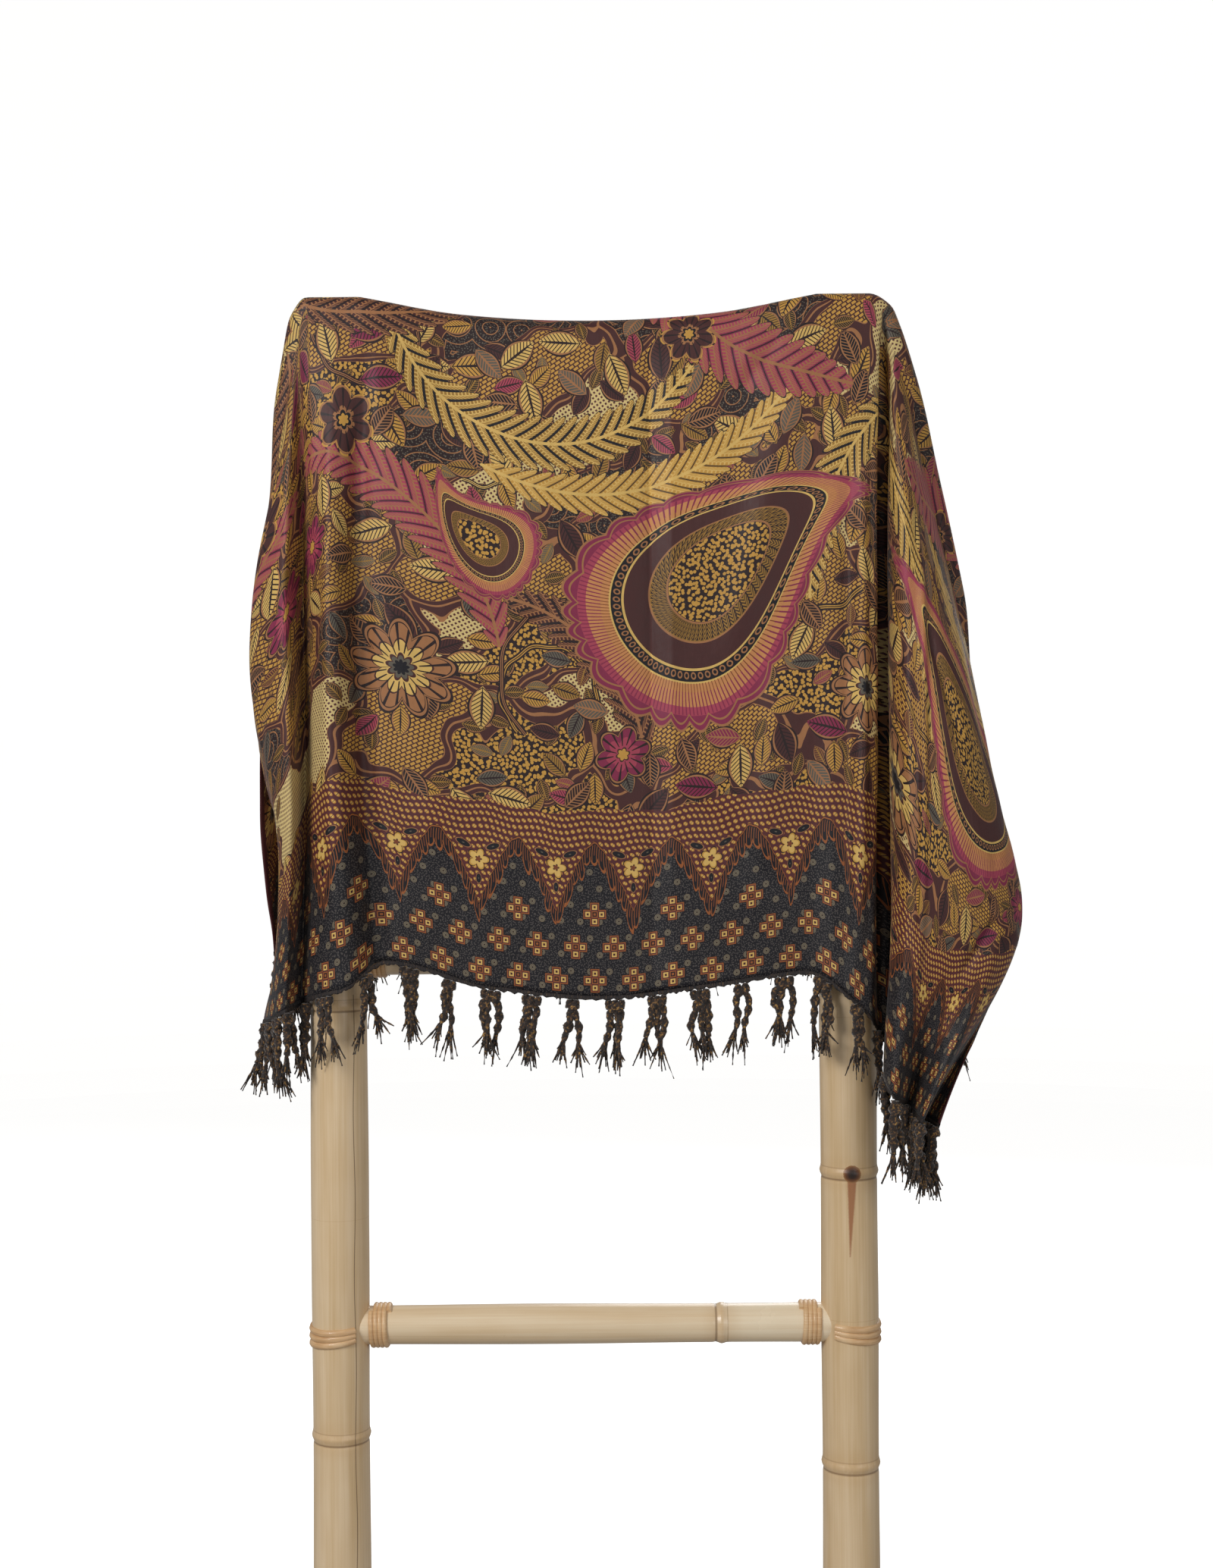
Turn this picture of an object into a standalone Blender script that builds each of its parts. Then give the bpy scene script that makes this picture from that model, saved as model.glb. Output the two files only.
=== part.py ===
"""Batik sarong draped over the two posts of an upright bamboo ladder rack.

Metres, +Z up. The floor is z = 0 and the front of the cloth faces -Y. The origin is the middle of
the whole part's box on the floor. Every piece is built round the ladder's own middle first and
moved onto the origin at the end. "Across" is the distance measured along the cloth's width from
the ladder's middle, and "drop" is the distance measured along its length from the ridge that lies
on the posts.
"""

import math
from collections import namedtuple

import bmesh
import bpy
import numpy as np
from mathutils import Matrix, Vector

GAP = 0.0003

LADDER_X = -0.038

POST_X = 0.243
POST_RADIUS = 0.027
POST_TOP = 1.518
POST_RIM_RADIUS = 0.010
NODE_SWELL = 0.0012
NODE_HALF_LENGTH = 0.007
LEFT_POST_NODES = (0.10, 0.44, 0.85, 1.17, 1.44)
RIGHT_POST_NODES = (0.13, 0.41, 0.688, 0.98, 1.30)
POST_SIDES = 16

RUNG_HEIGHTS = (0.190, 0.5425, 0.895, 1.2475)
RUNG_NODES = (-0.06, 0.1204, -0.11, 0.05)
RUNG_RADIUS = 0.0185
RUNG_SIDES = 14
RUNG_END_FROM_AXIS = 0.012
COPE_SIDES = 32

COLLAR_LENGTH = 0.021
COLLAR_THICKNESS = 0.0022
BAND_HEIGHT = 0.022
BAND_THICKNESS = 0.0022
BAND_SWEEP = math.radians(248)
BAND_STEPS = 14
BAND_DROP = 0.008
RATTAN_EDGE = 0.0008
RATTAN_EDGE_LENGTH = 0.0015

FOOT_LENGTH = 0.420
FOOT_WIDTH = 0.060
FOOT_HEIGHT = 0.034
FOOT_EDGE = 0.005

CLOTH_THICKNESS = 0.0011
LEFT_EDGE = -0.475
RIGHT_EDGE = 0.675
FRONT_DROP = 0.640
BACK_DROP = 0.575
RIDGE_TOP = POST_TOP + 2 * GAP + CLOTH_THICKNESS / 2
RIDGE_SAG = 0.021
FLAT_HALF_WIDTH = 0.022
ARCH_DROP = 0.036
ARCH_SHARES = (0.49, 0.75, 1.0)
FRONT_ROWS = 13
BACK_ROWS = 8
OVERHANG_STEPS = 60

TASSEL_SPACING = 0.0396
TASSEL_LENGTH = 0.063
FRINGE_GAP = 0.0009
HEM_STEP = 0.010
COLUMN_CLEARANCE = 0.0003
BAND_OF_FRINGE = 0.005
LOCK_WIDTH = 0.0046
LOCK_PITCH = 0.0062
LOCK_DEPTH = 0.0026
LOCK_SEGMENTS = 2
LOCK_TIP_SHARE = 0.45
LOCK_SPREAD = 0.0010
TASSEL_SWAY = 0.0025
TASSEL_UNEVENNESS = 0.08

Overhang = namedtuple("Overhang", "beyond slope_degrees depth")
LEFT_OVERHANG = (
    Overhang(0.000, 0, 0.000),
    Overhang(0.010, 52, 0.000),
    Overhang(0.022, 60, 0.000),
    Overhang(0.036, 76, 0.001),
    Overhang(0.070, 79, 0.003),
    Overhang(0.215, 80, 0.006),
)
RIGHT_OVERHANG = (
    Overhang(0.000, 0, 0.000),
    Overhang(0.008, 40, 0.000),
    Overhang(0.033, 46, 0.001),
    Overhang(0.048, 72, 0.003),
    Overhang(0.100, 75, 0.012),
    Overhang(0.200, 77, 0.036),
    Overhang(0.300, 79, 0.034),
    Overhang(0.420, 81, 0.022),
)

Arch = namedtuple("Arch", "across half_depth radius")
ARCHES = (
    Arch(-0.475, 0.008, 0.005),
    Arch(-0.330, 0.026, 0.014),
    Arch(-0.262, 0.030, 0.012),
    Arch(-0.210, 0.030, 0.012),
    Arch(-0.120, 0.020, 0.016),
    Arch(0.120, 0.020, 0.016),
    Arch(0.210, 0.030, 0.012),
    Arch(0.262, 0.030, 0.012),
    Arch(0.350, 0.030, 0.016),
    Arch(0.500, 0.024, 0.014),
    Arch(0.675, 0.010, 0.006),
)

Fold = namedtuple("Fold", "name across chest border hem")
CHEST_DROP = 0.22
BORDER_DROP = 0.43
FRONT_FOLDS = (
    Fold("left edge", -0.475, (-0.3185, 0.006, 1.110), (-0.2865, -0.012, 0.968), (-0.3180, 0.018, 0.832)),
    Fold("left outline", -0.395, (-0.3240, -0.008, 1.185), (-0.2935, -0.037, 0.990), (-0.3020, -0.024, 0.839)),
    Fold("left strip", -0.345, (-0.2940, -0.042, 1.235), (-0.2825, -0.049, 1.025), (-0.2880, -0.040, 0.848)),
    Fold("left valley", -0.305, (-0.2770, -0.008, 1.280), (-0.2765, -0.007, 1.075), (-0.2770, -0.012, 0.853)),
    Fold("left pleat side", -0.270, (-0.2680, -0.033, 1.302), (-0.2670, -0.036, 1.096), (-0.2600, -0.040, 0.861)),
    Fold("left pleat", -0.235, (-0.2440, -0.038, 1.311), (-0.2430, -0.049, 1.104), (-0.2300, -0.057, 0.870)),
    Fold("left pleat foot", -0.200, (-0.2080, -0.031, 1.309), (-0.2040, -0.031, 1.099), (-0.1950, -0.031, 0.892)),
    Fold("left panel", -0.100, (-0.1000, -0.027, 1.293), (-0.0990, -0.028, 1.081), (-0.0980, -0.030, 0.868)),
    Fold("middle panel", 0.010, (0.0100, -0.025, 1.288), (0.0100, -0.027, 1.072), (0.0100, -0.031, 0.8575)),
    Fold("right panel", 0.110, (0.1100, -0.027, 1.294), (0.1100, -0.028, 1.081), (0.1100, -0.030, 0.868)),
    Fold("right strip foot", 0.205, (0.2070, -0.031, 1.309), (0.2050, -0.031, 1.097), (0.2040, -0.031, 0.880)),
    Fold("right strip", 0.247, (0.2440, -0.036, 1.310), (0.2430, -0.041, 1.096), (0.2390, -0.046, 0.858)),
    Fold("right strip side", 0.283, (0.2690, -0.033, 1.303), (0.2680, -0.036, 1.086), (0.2600, -0.043, 0.838)),
    Fold("right valley", 0.306, (0.2760, -0.010, 1.288), (0.2755, -0.009, 1.064), (0.2725, -0.020, 0.818)),
    Fold("right valley wall", 0.324, (0.2790, -0.014, 1.272), (0.2800, -0.018, 1.042), (0.2815, -0.034, 0.804)),
    Fold("right crest wall", 0.342, (0.2830, -0.048, 1.244), (0.2810, -0.058, 1.008), (0.2680, -0.066, 0.786)),
    Fold("right crest", 0.364, (0.2950, -0.066, 1.218), (0.2920, -0.086, 0.978), (0.2740, -0.083, 0.772)),
    Fold("right panel fold", 0.440, (0.3260, -0.070, 1.160), (0.3250, -0.092, 0.940), (0.2950, -0.040, 0.757)),
    Fold("right outer fold", 0.526, (0.3620, -0.048, 1.095), (0.3700, -0.080, 0.935), (0.3010, -0.084, 0.748)),
    Fold("right outline", 0.600, (0.3790, -0.020, 1.060), (0.4000, -0.048, 0.930), (0.3090, -0.044, 0.745)),
    Fold("right edge", 0.675, (0.3720, 0.010, 1.035), (0.3900, -0.014, 0.915), (0.3190, -0.070, 0.742)),
)

BackFold = namedtuple("BackFold", "name across middle hem")
BACK_MIDDLE_DROP = 0.30
BACK_FOLDS = (
    BackFold("left edge", -0.475, (-0.3240, 0.044, 1.040), (-0.3120, 0.046, 0.895)),
    BackFold("left outer fold", -0.410, (-0.3060, 0.064, 1.105), (-0.3020, 0.070, 0.898)),
    BackFold("left inner fold", -0.350, (-0.2880, 0.052, 1.160), (-0.2890, 0.056, 0.905)),
    BackFold("left valley", -0.300, (-0.2790, 0.020, 1.195), (-0.2780, 0.022, 0.912)),
    BackFold("left post side", -0.262, (-0.2630, 0.035, 1.225), (-0.2590, 0.041, 0.925)),
    BackFold("left post", -0.222, (-0.2270, 0.037, 1.236), (-0.2250, 0.046, 0.935)),
    BackFold("left panel", -0.150, (-0.1500, 0.030, 1.226), (-0.1500, 0.031, 0.940)),
    BackFold("middle panel", 0.000, (0.0000, 0.026, 1.208), (0.0000, 0.030, 0.925)),
    BackFold("right panel", 0.150, (0.1500, 0.030, 1.226), (0.1500, 0.031, 0.938)),
    BackFold("right post", 0.222, (0.2270, 0.037, 1.236), (0.2250, 0.044, 0.932)),
    BackFold("right post side", 0.262, (0.2630, 0.035, 1.225), (0.2600, 0.039, 0.922)),
    BackFold("right valley", 0.305, (0.2790, 0.018, 1.190), (0.2790, 0.020, 0.902)),
    BackFold("right inner fold", 0.360, (0.2920, 0.062, 1.140), (0.2890, 0.074, 0.884)),
    BackFold("right outer fold", 0.440, (0.3240, 0.092, 1.075), (0.3060, 0.098, 0.866)),
    BackFold("right return", 0.520, (0.3500, 0.080, 1.010), (0.3280, 0.066, 0.852)),
    BackFold("right last fold", 0.600, (0.3620, 0.056, 0.965), (0.3440, 0.080, 0.848)),
    BackFold("right edge", 0.675, (0.3640, 0.046, 0.930), (0.3560, 0.050, 0.845)),
)

ColumnRun = namedtuple("ColumnRun", "end count")
COLUMN_RUNS = (
    ColumnRun(-0.240, 20),
    ColumnRun(-0.190, 3),
    ColumnRun(0.190, 8),
    ColumnRun(0.250, 4),
    ColumnRun(0.460, 18),
    ColumnRun(RIGHT_EDGE, 13),
)

FIELD_GOLD = (0.42, 0.28, 0.09, 1)
FRINGE_BROWN = (0.06, 0.04, 0.03, 1)
BAMBOO_TAN = (0.62, 0.45, 0.27, 1)
RATTAN_ORANGE = (0.60, 0.38, 0.20, 1)
FOOT_TAN = (0.50, 0.35, 0.20, 1)


def material(name, color, roughness):
    """Principled finish of one sub-part."""
    made = bpy.data.materials.get(name) or bpy.data.materials.new(name)
    made.use_nodes = True
    shader = made.node_tree.nodes["Principled BSDF"]
    shader.inputs["Base Color"].default_value = color
    shader.inputs["Roughness"].default_value = roughness
    shader.inputs["Metallic"].default_value = 0.0
    return made


def add_object(name, mesh, collection, finish):
    """Put a mesh in the collection as one named sub-part."""
    made = bpy.data.objects.new(name, mesh)
    made.data.materials.append(finish)
    collection.objects.link(made)
    return made


def knot_slopes(knots, values):
    """Slopes of a monotone cubic, so that no fold overshoots its own crest."""
    width = np.diff(knots)[:, None]
    rise = np.diff(values, axis=0) / width
    before, after = rise[:-1], rise[1:]
    first_weight = 2 * width[1:] + width[:-1]
    last_weight = width[1:] + 2 * width[:-1]
    same_way = before * after > 0
    safe_before = np.where(same_way, before, 1.0)
    safe_after = np.where(same_way, after, 1.0)
    harmonic = (first_weight + last_weight) / (first_weight / safe_before + last_weight / safe_after)
    slopes = np.zeros_like(values)
    slopes[1:-1] = np.where(same_way, harmonic, 0.0)
    slopes[0] = rise[0]
    slopes[-1] = rise[-1]
    return slopes


def smooth(knots, values, at):
    """Read rows of values at one place between their knots."""
    knots = np.asarray(knots, float)
    values = np.asarray(values, float)
    if values.ndim == 1:
        values = values[:, None]
    slopes = knot_slopes(knots, values)
    at = min(max(at, knots[0]), knots[-1])
    i = min(int(np.searchsorted(knots, at, side="right")) - 1, len(knots) - 2)
    width = knots[i + 1] - knots[i]
    t = (at - knots[i]) / width
    rise = 3 * t * t - 2 * t**3
    return (
        (1 - rise) * values[i]
        + rise * values[i + 1]
        + (t - 2 * t * t + t**3) * width * slopes[i]
        + (t**3 - t * t) * width * slopes[i + 1]
    )


def overhang_point(rows, beyond):
    """Follow the ridge past a post by its own length. Returns outward, depth, fall and slope."""
    outward, fall, slope = 0.0, 0.0, 0.0
    knots = [row.beyond for row in rows]
    values = [(row.slope_degrees, row.depth) for row in rows]
    reading = smooth(knots, values, 0.0)
    step = beyond / OVERHANG_STEPS
    for i in range(OVERHANG_STEPS):
        slope = math.radians(smooth(knots, values, (i + 0.5) * step)[0])
        following = smooth(knots, values, (i + 1) * step)
        sideways = following[1] - reading[1]
        run = math.sqrt(max(step * step - sideways * sideways, 0.0))
        outward += run * math.cos(slope)
        fall += run * math.sin(slope)
        reading = following
    return outward, reading[1], fall, slope


def ridge(across):
    """Point on the ridge, and the way its outer side faces."""
    flat_end = POST_X + FLAT_HALF_WIDTH
    inner_end = POST_X - POST_RADIUS
    if abs(across) <= flat_end:
        inside = min(abs(across) / inner_end, 1.0)
        height = RIDGE_TOP - RIDGE_SAG * (1 - inside * inside)
        return np.array((across, 0.0, height)), np.array((0.0, 0.0, 1.0))
    side = 1 if across > 0 else -1
    rows = RIGHT_OVERHANG if across > 0 else LEFT_OVERHANG
    outward, depth, fall, slope = overhang_point(rows, abs(across) - flat_end)
    point = np.array((side * (flat_end + outward), depth, RIDGE_TOP - fall))
    return point, np.array((side * math.sin(slope), 0.0, math.cos(slope)))


def arch_point(across, share, front):
    """Point on the arch over the ridge: flat on top, then a quarter turn. Share runs from 0 to 1."""
    top, outward = ridge(across)
    half_depth, radius = smooth([a.across for a in ARCHES], [(a.half_depth, a.radius) for a in ARCHES], across)
    flat = half_depth - radius
    length = flat + radius * math.pi / 2
    along = share * length
    turn = max(along - flat, 0.0) / radius
    reach = min(along, flat) + radius * math.sin(turn)
    fall = radius * (1 - math.cos(turn))
    toward = -1 if front else 1
    return top + np.array((0.0, toward * reach, 0.0)) - fall * outward


def layer_rows(front):
    """Knots and point rows of the front or the back layer below the arch."""
    if front:
        folds = [(f.across, f.chest + f.border + f.hem) for f in FRONT_FOLDS]
        return [ARCH_DROP, CHEST_DROP, BORDER_DROP, FRONT_DROP], folds
    folds = [(f.across, f.middle + f.hem) for f in BACK_FOLDS]
    return [ARCH_DROP, BACK_MIDDLE_DROP, BACK_DROP], folds


def cloth_point(across, drop, front):
    """Point of the cloth's middle surface on the front or the back layer."""
    if drop <= ARCH_DROP:
        return arch_point(across, drop / ARCH_DROP, front)
    drops, folds = layer_rows(front)
    stations = smooth([row[0] for row in folds], [row[1] for row in folds], across).reshape(-1, 3)
    points = np.vstack([arch_point(across, 1.0, front), stations])
    return smooth(drops, points, drop)


def column_positions():
    """Across positions of the cloth's columns, closer together where it folds."""
    places = [LEFT_EDGE]
    for run in COLUMN_RUNS:
        start = places[-1]
        places += [start + (run.end - start) * (i + 1) / run.count for i in range(run.count)]
    return places


def drop_positions():
    """Signed drops of the cloth's rows, front hem first, back hem last."""
    arch = [ARCH_DROP * share for share in ARCH_SHARES]
    front = arch + [ARCH_DROP + (FRONT_DROP - ARCH_DROP) * (i + 1) / FRONT_ROWS for i in range(FRONT_ROWS)]
    back = arch + [ARCH_DROP + (BACK_DROP - ARCH_DROP) * (i + 1) / BACK_ROWS for i in range(BACK_ROWS)]
    return [-d for d in reversed(front)] + [0.0] + back


def build_cloth(collection):
    """The sarong itself: one sheet over the posts, as an open surface given its thickness."""
    columns = column_positions()
    rows = drop_positions()
    mesh = bpy.data.meshes.new("sarong_cloth")
    shape = bmesh.new()
    grid = [
        [shape.verts.new(cloth_point(across, abs(drop), drop <= 0)) for across in columns]
        for drop in rows
    ]
    for lower, upper in zip(grid, grid[1:]):
        for i in range(len(columns) - 1):
            shape.faces.new((lower[i], lower[i + 1], upper[i + 1], upper[i]))
    shape.to_mesh(mesh)
    shape.free()
    mesh.shade_smooth()
    cloth = add_object("sarong_cloth", mesh, collection, material("batik_rayon", FIELD_GOLD, 0.6))
    wall = cloth.modifiers.new("wall", "SOLIDIFY")
    wall.thickness = CLOTH_THICKNESS
    wall.offset = 0.0


def hem_stations(front):
    """The cloth's own hem corners: across, then the corner, the way down and the way out in a row."""
    drop = FRONT_DROP if front else BACK_DROP
    columns = column_positions()
    corners = np.array([cloth_point(across, drop, front) for across in columns])
    inner = np.array([cloth_point(across, drop - HEM_STEP, front) for across in columns])
    down = corners - inner
    down /= np.linalg.norm(down, axis=1)[:, None]
    along = np.gradient(corners, axis=0)
    out = np.cross(down, along)
    out /= np.linalg.norm(out, axis=1)[:, None]
    return columns, np.hstack([corners, down, out])


def hem_frame(stations, across):
    """Point on the straight hem between two of its corners, with the way down and the way out."""
    columns, rows = stations
    reading = [np.interp(across, columns, rows[:, i]) for i in range(rows.shape[1])]
    hem, down, out = (Vector(reading[i : i + 3]) for i in (0, 3, 6))
    return hem, down.normalized(), out.normalized()


def tassel_positions():
    """Across positions of the tassels, evenly along the hem, each moved to lie on one flat stretch."""
    count = int((RIGHT_EDGE - LEFT_EDGE) / TASSEL_SPACING)
    first = (LEFT_EDGE + RIGHT_EDGE) / 2 - (count - 1) / 2 * TASSEL_SPACING
    columns = column_positions()
    room = (LOCK_PITCH + LOCK_WIDTH) / 2 + COLUMN_CLEARANCE
    places = []
    for i in range(count):
        even = first + i * TASSEL_SPACING
        after = int(np.searchsorted(columns, even))
        places.append(min(max(even, columns[after - 1] + room), columns[after] - room))
    return places


def fringe_columns():
    """Across positions of the strip's columns, with whether a lock hangs from the next stretch."""
    columns = [(across, False) for across in column_positions()]
    for tassel in tassel_positions():
        for side in (-0.5, 0.5):
            root = tassel + side * LOCK_PITCH
            columns.append((root - LOCK_WIDTH / 2, True))
            columns.append((root + LOCK_WIDTH / 2, False))
    return sorted(columns)


def tassel_sway(tassel, share):
    """Sway of a tassel at a share of its length, different from tassel to tassel."""
    sideways = TASSEL_SWAY * math.sin(2.1 * tassel + 1.2 * share) * share
    outward = TASSEL_SWAY / 2 * math.sin(1.3 * tassel + 0.7) * share
    return Vector((sideways, outward, 0.0))


def fringe_strip(shape, front):
    """Narrow closed strip just below the cloth's edge. Returns the faces that locks hang from."""
    stations = hem_stations(front)
    rings = []
    for across, has_lock in fringe_columns():
        hem, down, out = hem_frame(stations, across)
        half = out * CLOTH_THICKNESS / 2
        top = hem + down * FRINGE_GAP
        low = top + down * BAND_OF_FRINGE
        corners = (top + half, top - half, low - half, low + half)
        rings.append(([shape.verts.new(point) for point in corners], has_lock))
    roots = []
    for (left, has_lock), (right, _) in zip(rings, rings[1:]):
        for i in range(4):
            j = (i + 1) % 4
            face = shape.faces.new((left[i], left[j], right[j], right[i]))
            if i == 2 and has_lock:
                roots.append(face)
    shape.faces.new(rings[0][0][::-1])
    shape.faces.new(rings[-1][0])
    bmesh.ops.recalc_face_normals(shape, faces=shape.faces[:])
    return roots


def hang_lock(shape, face, tassel, spread):
    """Draw one four-sided lock down from its root face. Spread is its way from the other lock."""
    corners = [vert.co.copy() for vert in face.verts]
    centre = face.calc_center_median()
    if (corners[1] - corners[0]).length > (corners[2] - corners[1]).length:
        along_signs, out_signs = (-1, 1, 1, -1), (-1, -1, 1, 1)
    else:
        along_signs, out_signs = (-1, -1, 1, 1), (1, -1, -1, 1)
    along = sum((c * sign for c, sign in zip(corners, along_signs)), Vector()) / 2
    root_width = along.length
    along = Vector((along.x, along.y, 0)).normalized()
    outward = Vector((-along.y, along.x, 0))
    across_root = sum((c * sign for c, sign in zip(corners, out_signs)), Vector())
    if across_root.dot(outward) < 0:
        outward.negate()
    length = TASSEL_LENGTH * (1 - TASSEL_UNEVENNESS * (1 - math.sin(3.7 * tassel)))
    for step in range(LOCK_SEGMENTS):
        share = (step + 1) / LOCK_SEGMENTS
        face = bmesh.ops.extrude_discrete_faces(shape, faces=[face])["faces"][0]
        taper = LOCK_TIP_SHARE if step == LOCK_SEGMENTS - 1 else 1.0
        width = min(LOCK_WIDTH, root_width) * taper
        depth = min(LOCK_DEPTH, root_width) * taper
        middle = centre + tassel_sway(tassel, share) + spread * share - Vector((0, 0, length * share))
        for vert, along_sign, out_sign in zip(face.verts, along_signs, out_signs):
            vert.co = middle + along * (along_sign * width / 2) + outward * (out_sign * depth / 2)


def build_fringe(collection, name, front):
    """Fringe of one hem: a narrow strip below the cloth's edge with two locks for each tassel."""
    mesh = bpy.data.meshes.new(name)
    shape = bmesh.new()
    roots = fringe_strip(shape, front)
    for tassel, pair in enumerate(zip(roots[0::2], roots[1::2])):
        left, right = (root.calc_center_median() for root in pair)
        spread = (right - left).normalized() * LOCK_SPREAD
        hang_lock(shape, pair[0], tassel, -spread)
        hang_lock(shape, pair[1], tassel, spread)
    shape.to_mesh(mesh)
    shape.free()
    add_object(name, mesh, collection, material("twisted_yarn", FRINGE_BROWN, 0.85))


def bamboo_profile(length, radius, nodes, rim):
    """Radius and height pairs of a bamboo pole, top first, with a low ring at each node."""
    points = [(0.0, length)]
    if rim > 0:
        for i in range(4):
            angle = math.pi / 2 * i / 3
            points.append((radius - rim + rim * math.sin(angle), length - rim + rim * math.cos(angle)))
    else:
        points.append((radius, length))
    for node in sorted(nodes, reverse=True):
        points.append((radius, node + NODE_HALF_LENGTH))
        points.append((radius + NODE_SWELL, node))
        points.append((radius, node - NODE_HALF_LENGTH))
    points.append((radius, 0.0))
    points.append((0.0, 0.0))
    return points


def turned(name, profile, sides, collection, finish):
    """A profile turned about Z, as one closed solid."""
    mesh = bpy.data.meshes.new(name)
    shape = bmesh.new()
    verts = [shape.verts.new((radius, 0.0, height)) for radius, height in profile]
    for first, second in zip(verts, verts[1:]):
        shape.edges.new((first, second))
    shape.to_mesh(mesh)
    shape.free()
    made = add_object(name, mesh, collection, finish)
    screw = made.modifiers.new("turn", "SCREW")
    screw.steps = sides
    screw.render_steps = sides
    screw.use_merge_vertices = True
    screw.merge_threshold = 0.0001
    return made


def build_posts(collection):
    """Two bamboo posts that stand on the feet."""
    bamboo = material("bamboo", BAMBOO_TAN, 0.4)
    base = FOOT_HEIGHT + GAP
    for name, side, nodes in (("post_left", -1, LEFT_POST_NODES), ("post_right", 1, RIGHT_POST_NODES)):
        heights = [node - base for node in nodes]
        profile = bamboo_profile(POST_TOP - base, POST_RADIUS, heights, POST_RIM_RADIUS)
        post = turned(name, profile, POST_SIDES, collection, bamboo)
        post.location = (side * POST_X, 0.0, base)


def build_rungs(collection):
    """Bamboo rungs between the posts, their ends hollowed to the posts' round sides."""
    bamboo = material("bamboo", BAMBOO_TAN, 0.4)
    half = POST_X - RUNG_END_FROM_AXIS
    for index, (height, node) in enumerate(zip(RUNG_HEIGHTS, RUNG_NODES)):
        profile = bamboo_profile(2 * half, RUNG_RADIUS, [node + half], 0.0)
        name = f"rung_{index + 1}"
        rung = turned(name, profile, RUNG_SIDES, collection, bamboo)
        rung.matrix_world = Matrix.Translation((-half, 0.0, height)) @ Matrix.Rotation(math.pi / 2, 4, "Y")
        for side in (-1, 1):
            cope = rung.modifiers.new("cope", "BOOLEAN")
            cope.operation = "DIFFERENCE"
            cope.object = post_cutter(side)


def post_cutter(side):
    """Guide cylinder a little larger than a post, which hollows the rungs' ends."""
    name = f"cope_{'left' if side < 0 else 'right'}"
    found = bpy.data.objects.get(name)
    if found:
        return found
    bpy.ops.mesh.primitive_cylinder_add(
        vertices=COPE_SIDES,
        radius=(POST_RADIUS + GAP) / math.cos(math.pi / COPE_SIDES),
        depth=POST_TOP * 1.2,
        location=(side * POST_X, 0.0, POST_TOP / 2),
    )
    cutter = bpy.context.object
    cutter.name = name
    cutter.hide_render = True
    cutter.display_type = "WIRE"
    home = bpy.data.collections["cutters"]
    for other in list(cutter.users_collection):
        other.objects.unlink(cutter)
    home.objects.link(cutter)
    return cutter


def build_collars(collection):
    """Rattan wound round each rung beside its posts."""
    rattan = material("rattan", RATTAN_ORANGE, 0.5)
    inner = RUNG_RADIUS + GAP
    outer = inner + COLLAR_THICKNESS
    start = POST_RADIUS + NODE_SWELL + BAND_THICKNESS + 3 * GAP
    profile = [
        (inner, COLLAR_LENGTH),
        (outer - RATTAN_EDGE, COLLAR_LENGTH),
        (outer, COLLAR_LENGTH - RATTAN_EDGE_LENGTH),
        (outer, RATTAN_EDGE_LENGTH),
        (outer - RATTAN_EDGE, 0.0),
        (inner, 0.0),
        (inner, COLLAR_LENGTH),
    ]
    for index, height in enumerate(RUNG_HEIGHTS):
        for side, word in ((-1, "left"), (1, "right")):
            collar = turned(f"collar_{index + 1}_{word}", profile, RUNG_SIDES, collection, rattan)
            begin = side * (POST_X - start) - (COLLAR_LENGTH if side > 0 else 0.0)
            collar.matrix_world = Matrix.Translation((begin, 0.0, height)) @ Matrix.Rotation(
                math.pi / 2, 4, "Y"
            )


def build_bands(collection):
    """Rattan wound round each post at a rung, open where the rung enters."""
    rattan = material("rattan", RATTAN_ORANGE, 0.5)
    inner = (POST_RADIUS + GAP) / math.cos(BAND_SWEEP / BAND_STEPS / 2)
    outer = inner + BAND_THICKNESS
    profile = [
        (inner, BAND_HEIGHT / 2),
        (outer - RATTAN_EDGE, BAND_HEIGHT / 2),
        (outer, BAND_HEIGHT / 2 - RATTAN_EDGE_LENGTH),
        (outer, -BAND_HEIGHT / 2 + RATTAN_EDGE_LENGTH),
        (outer - RATTAN_EDGE, -BAND_HEIGHT / 2),
        (inner, -BAND_HEIGHT / 2),
    ]
    for index, height in enumerate(RUNG_HEIGHTS):
        for side, word in ((-1, "left"), (1, "right")):
            mesh = bpy.data.meshes.new(f"band_{index + 1}_{word}")
            shape = bmesh.new()
            rings = []
            for step in range(BAND_STEPS + 1):
                angle = (step / BAND_STEPS - 0.5) * BAND_SWEEP
                ring = [
                    shape.verts.new((side * radius * math.cos(angle), radius * math.sin(angle), z))
                    for radius, z in profile
                ]
                rings.append(ring)
            for first, second in zip(rings, rings[1:]):
                for i in range(len(profile)):
                    j = (i + 1) % len(profile)
                    shape.faces.new((first[i], first[j], second[j], second[i]))
            shape.faces.new(rings[0])
            shape.faces.new(rings[-1])
            bmesh.ops.recalc_face_normals(shape, faces=shape.faces[:])
            shape.to_mesh(mesh)
            shape.free()
            band = add_object(mesh.name, mesh, collection, rattan)
            band.location = (side * POST_X, 0.0, height - BAND_DROP)


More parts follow.
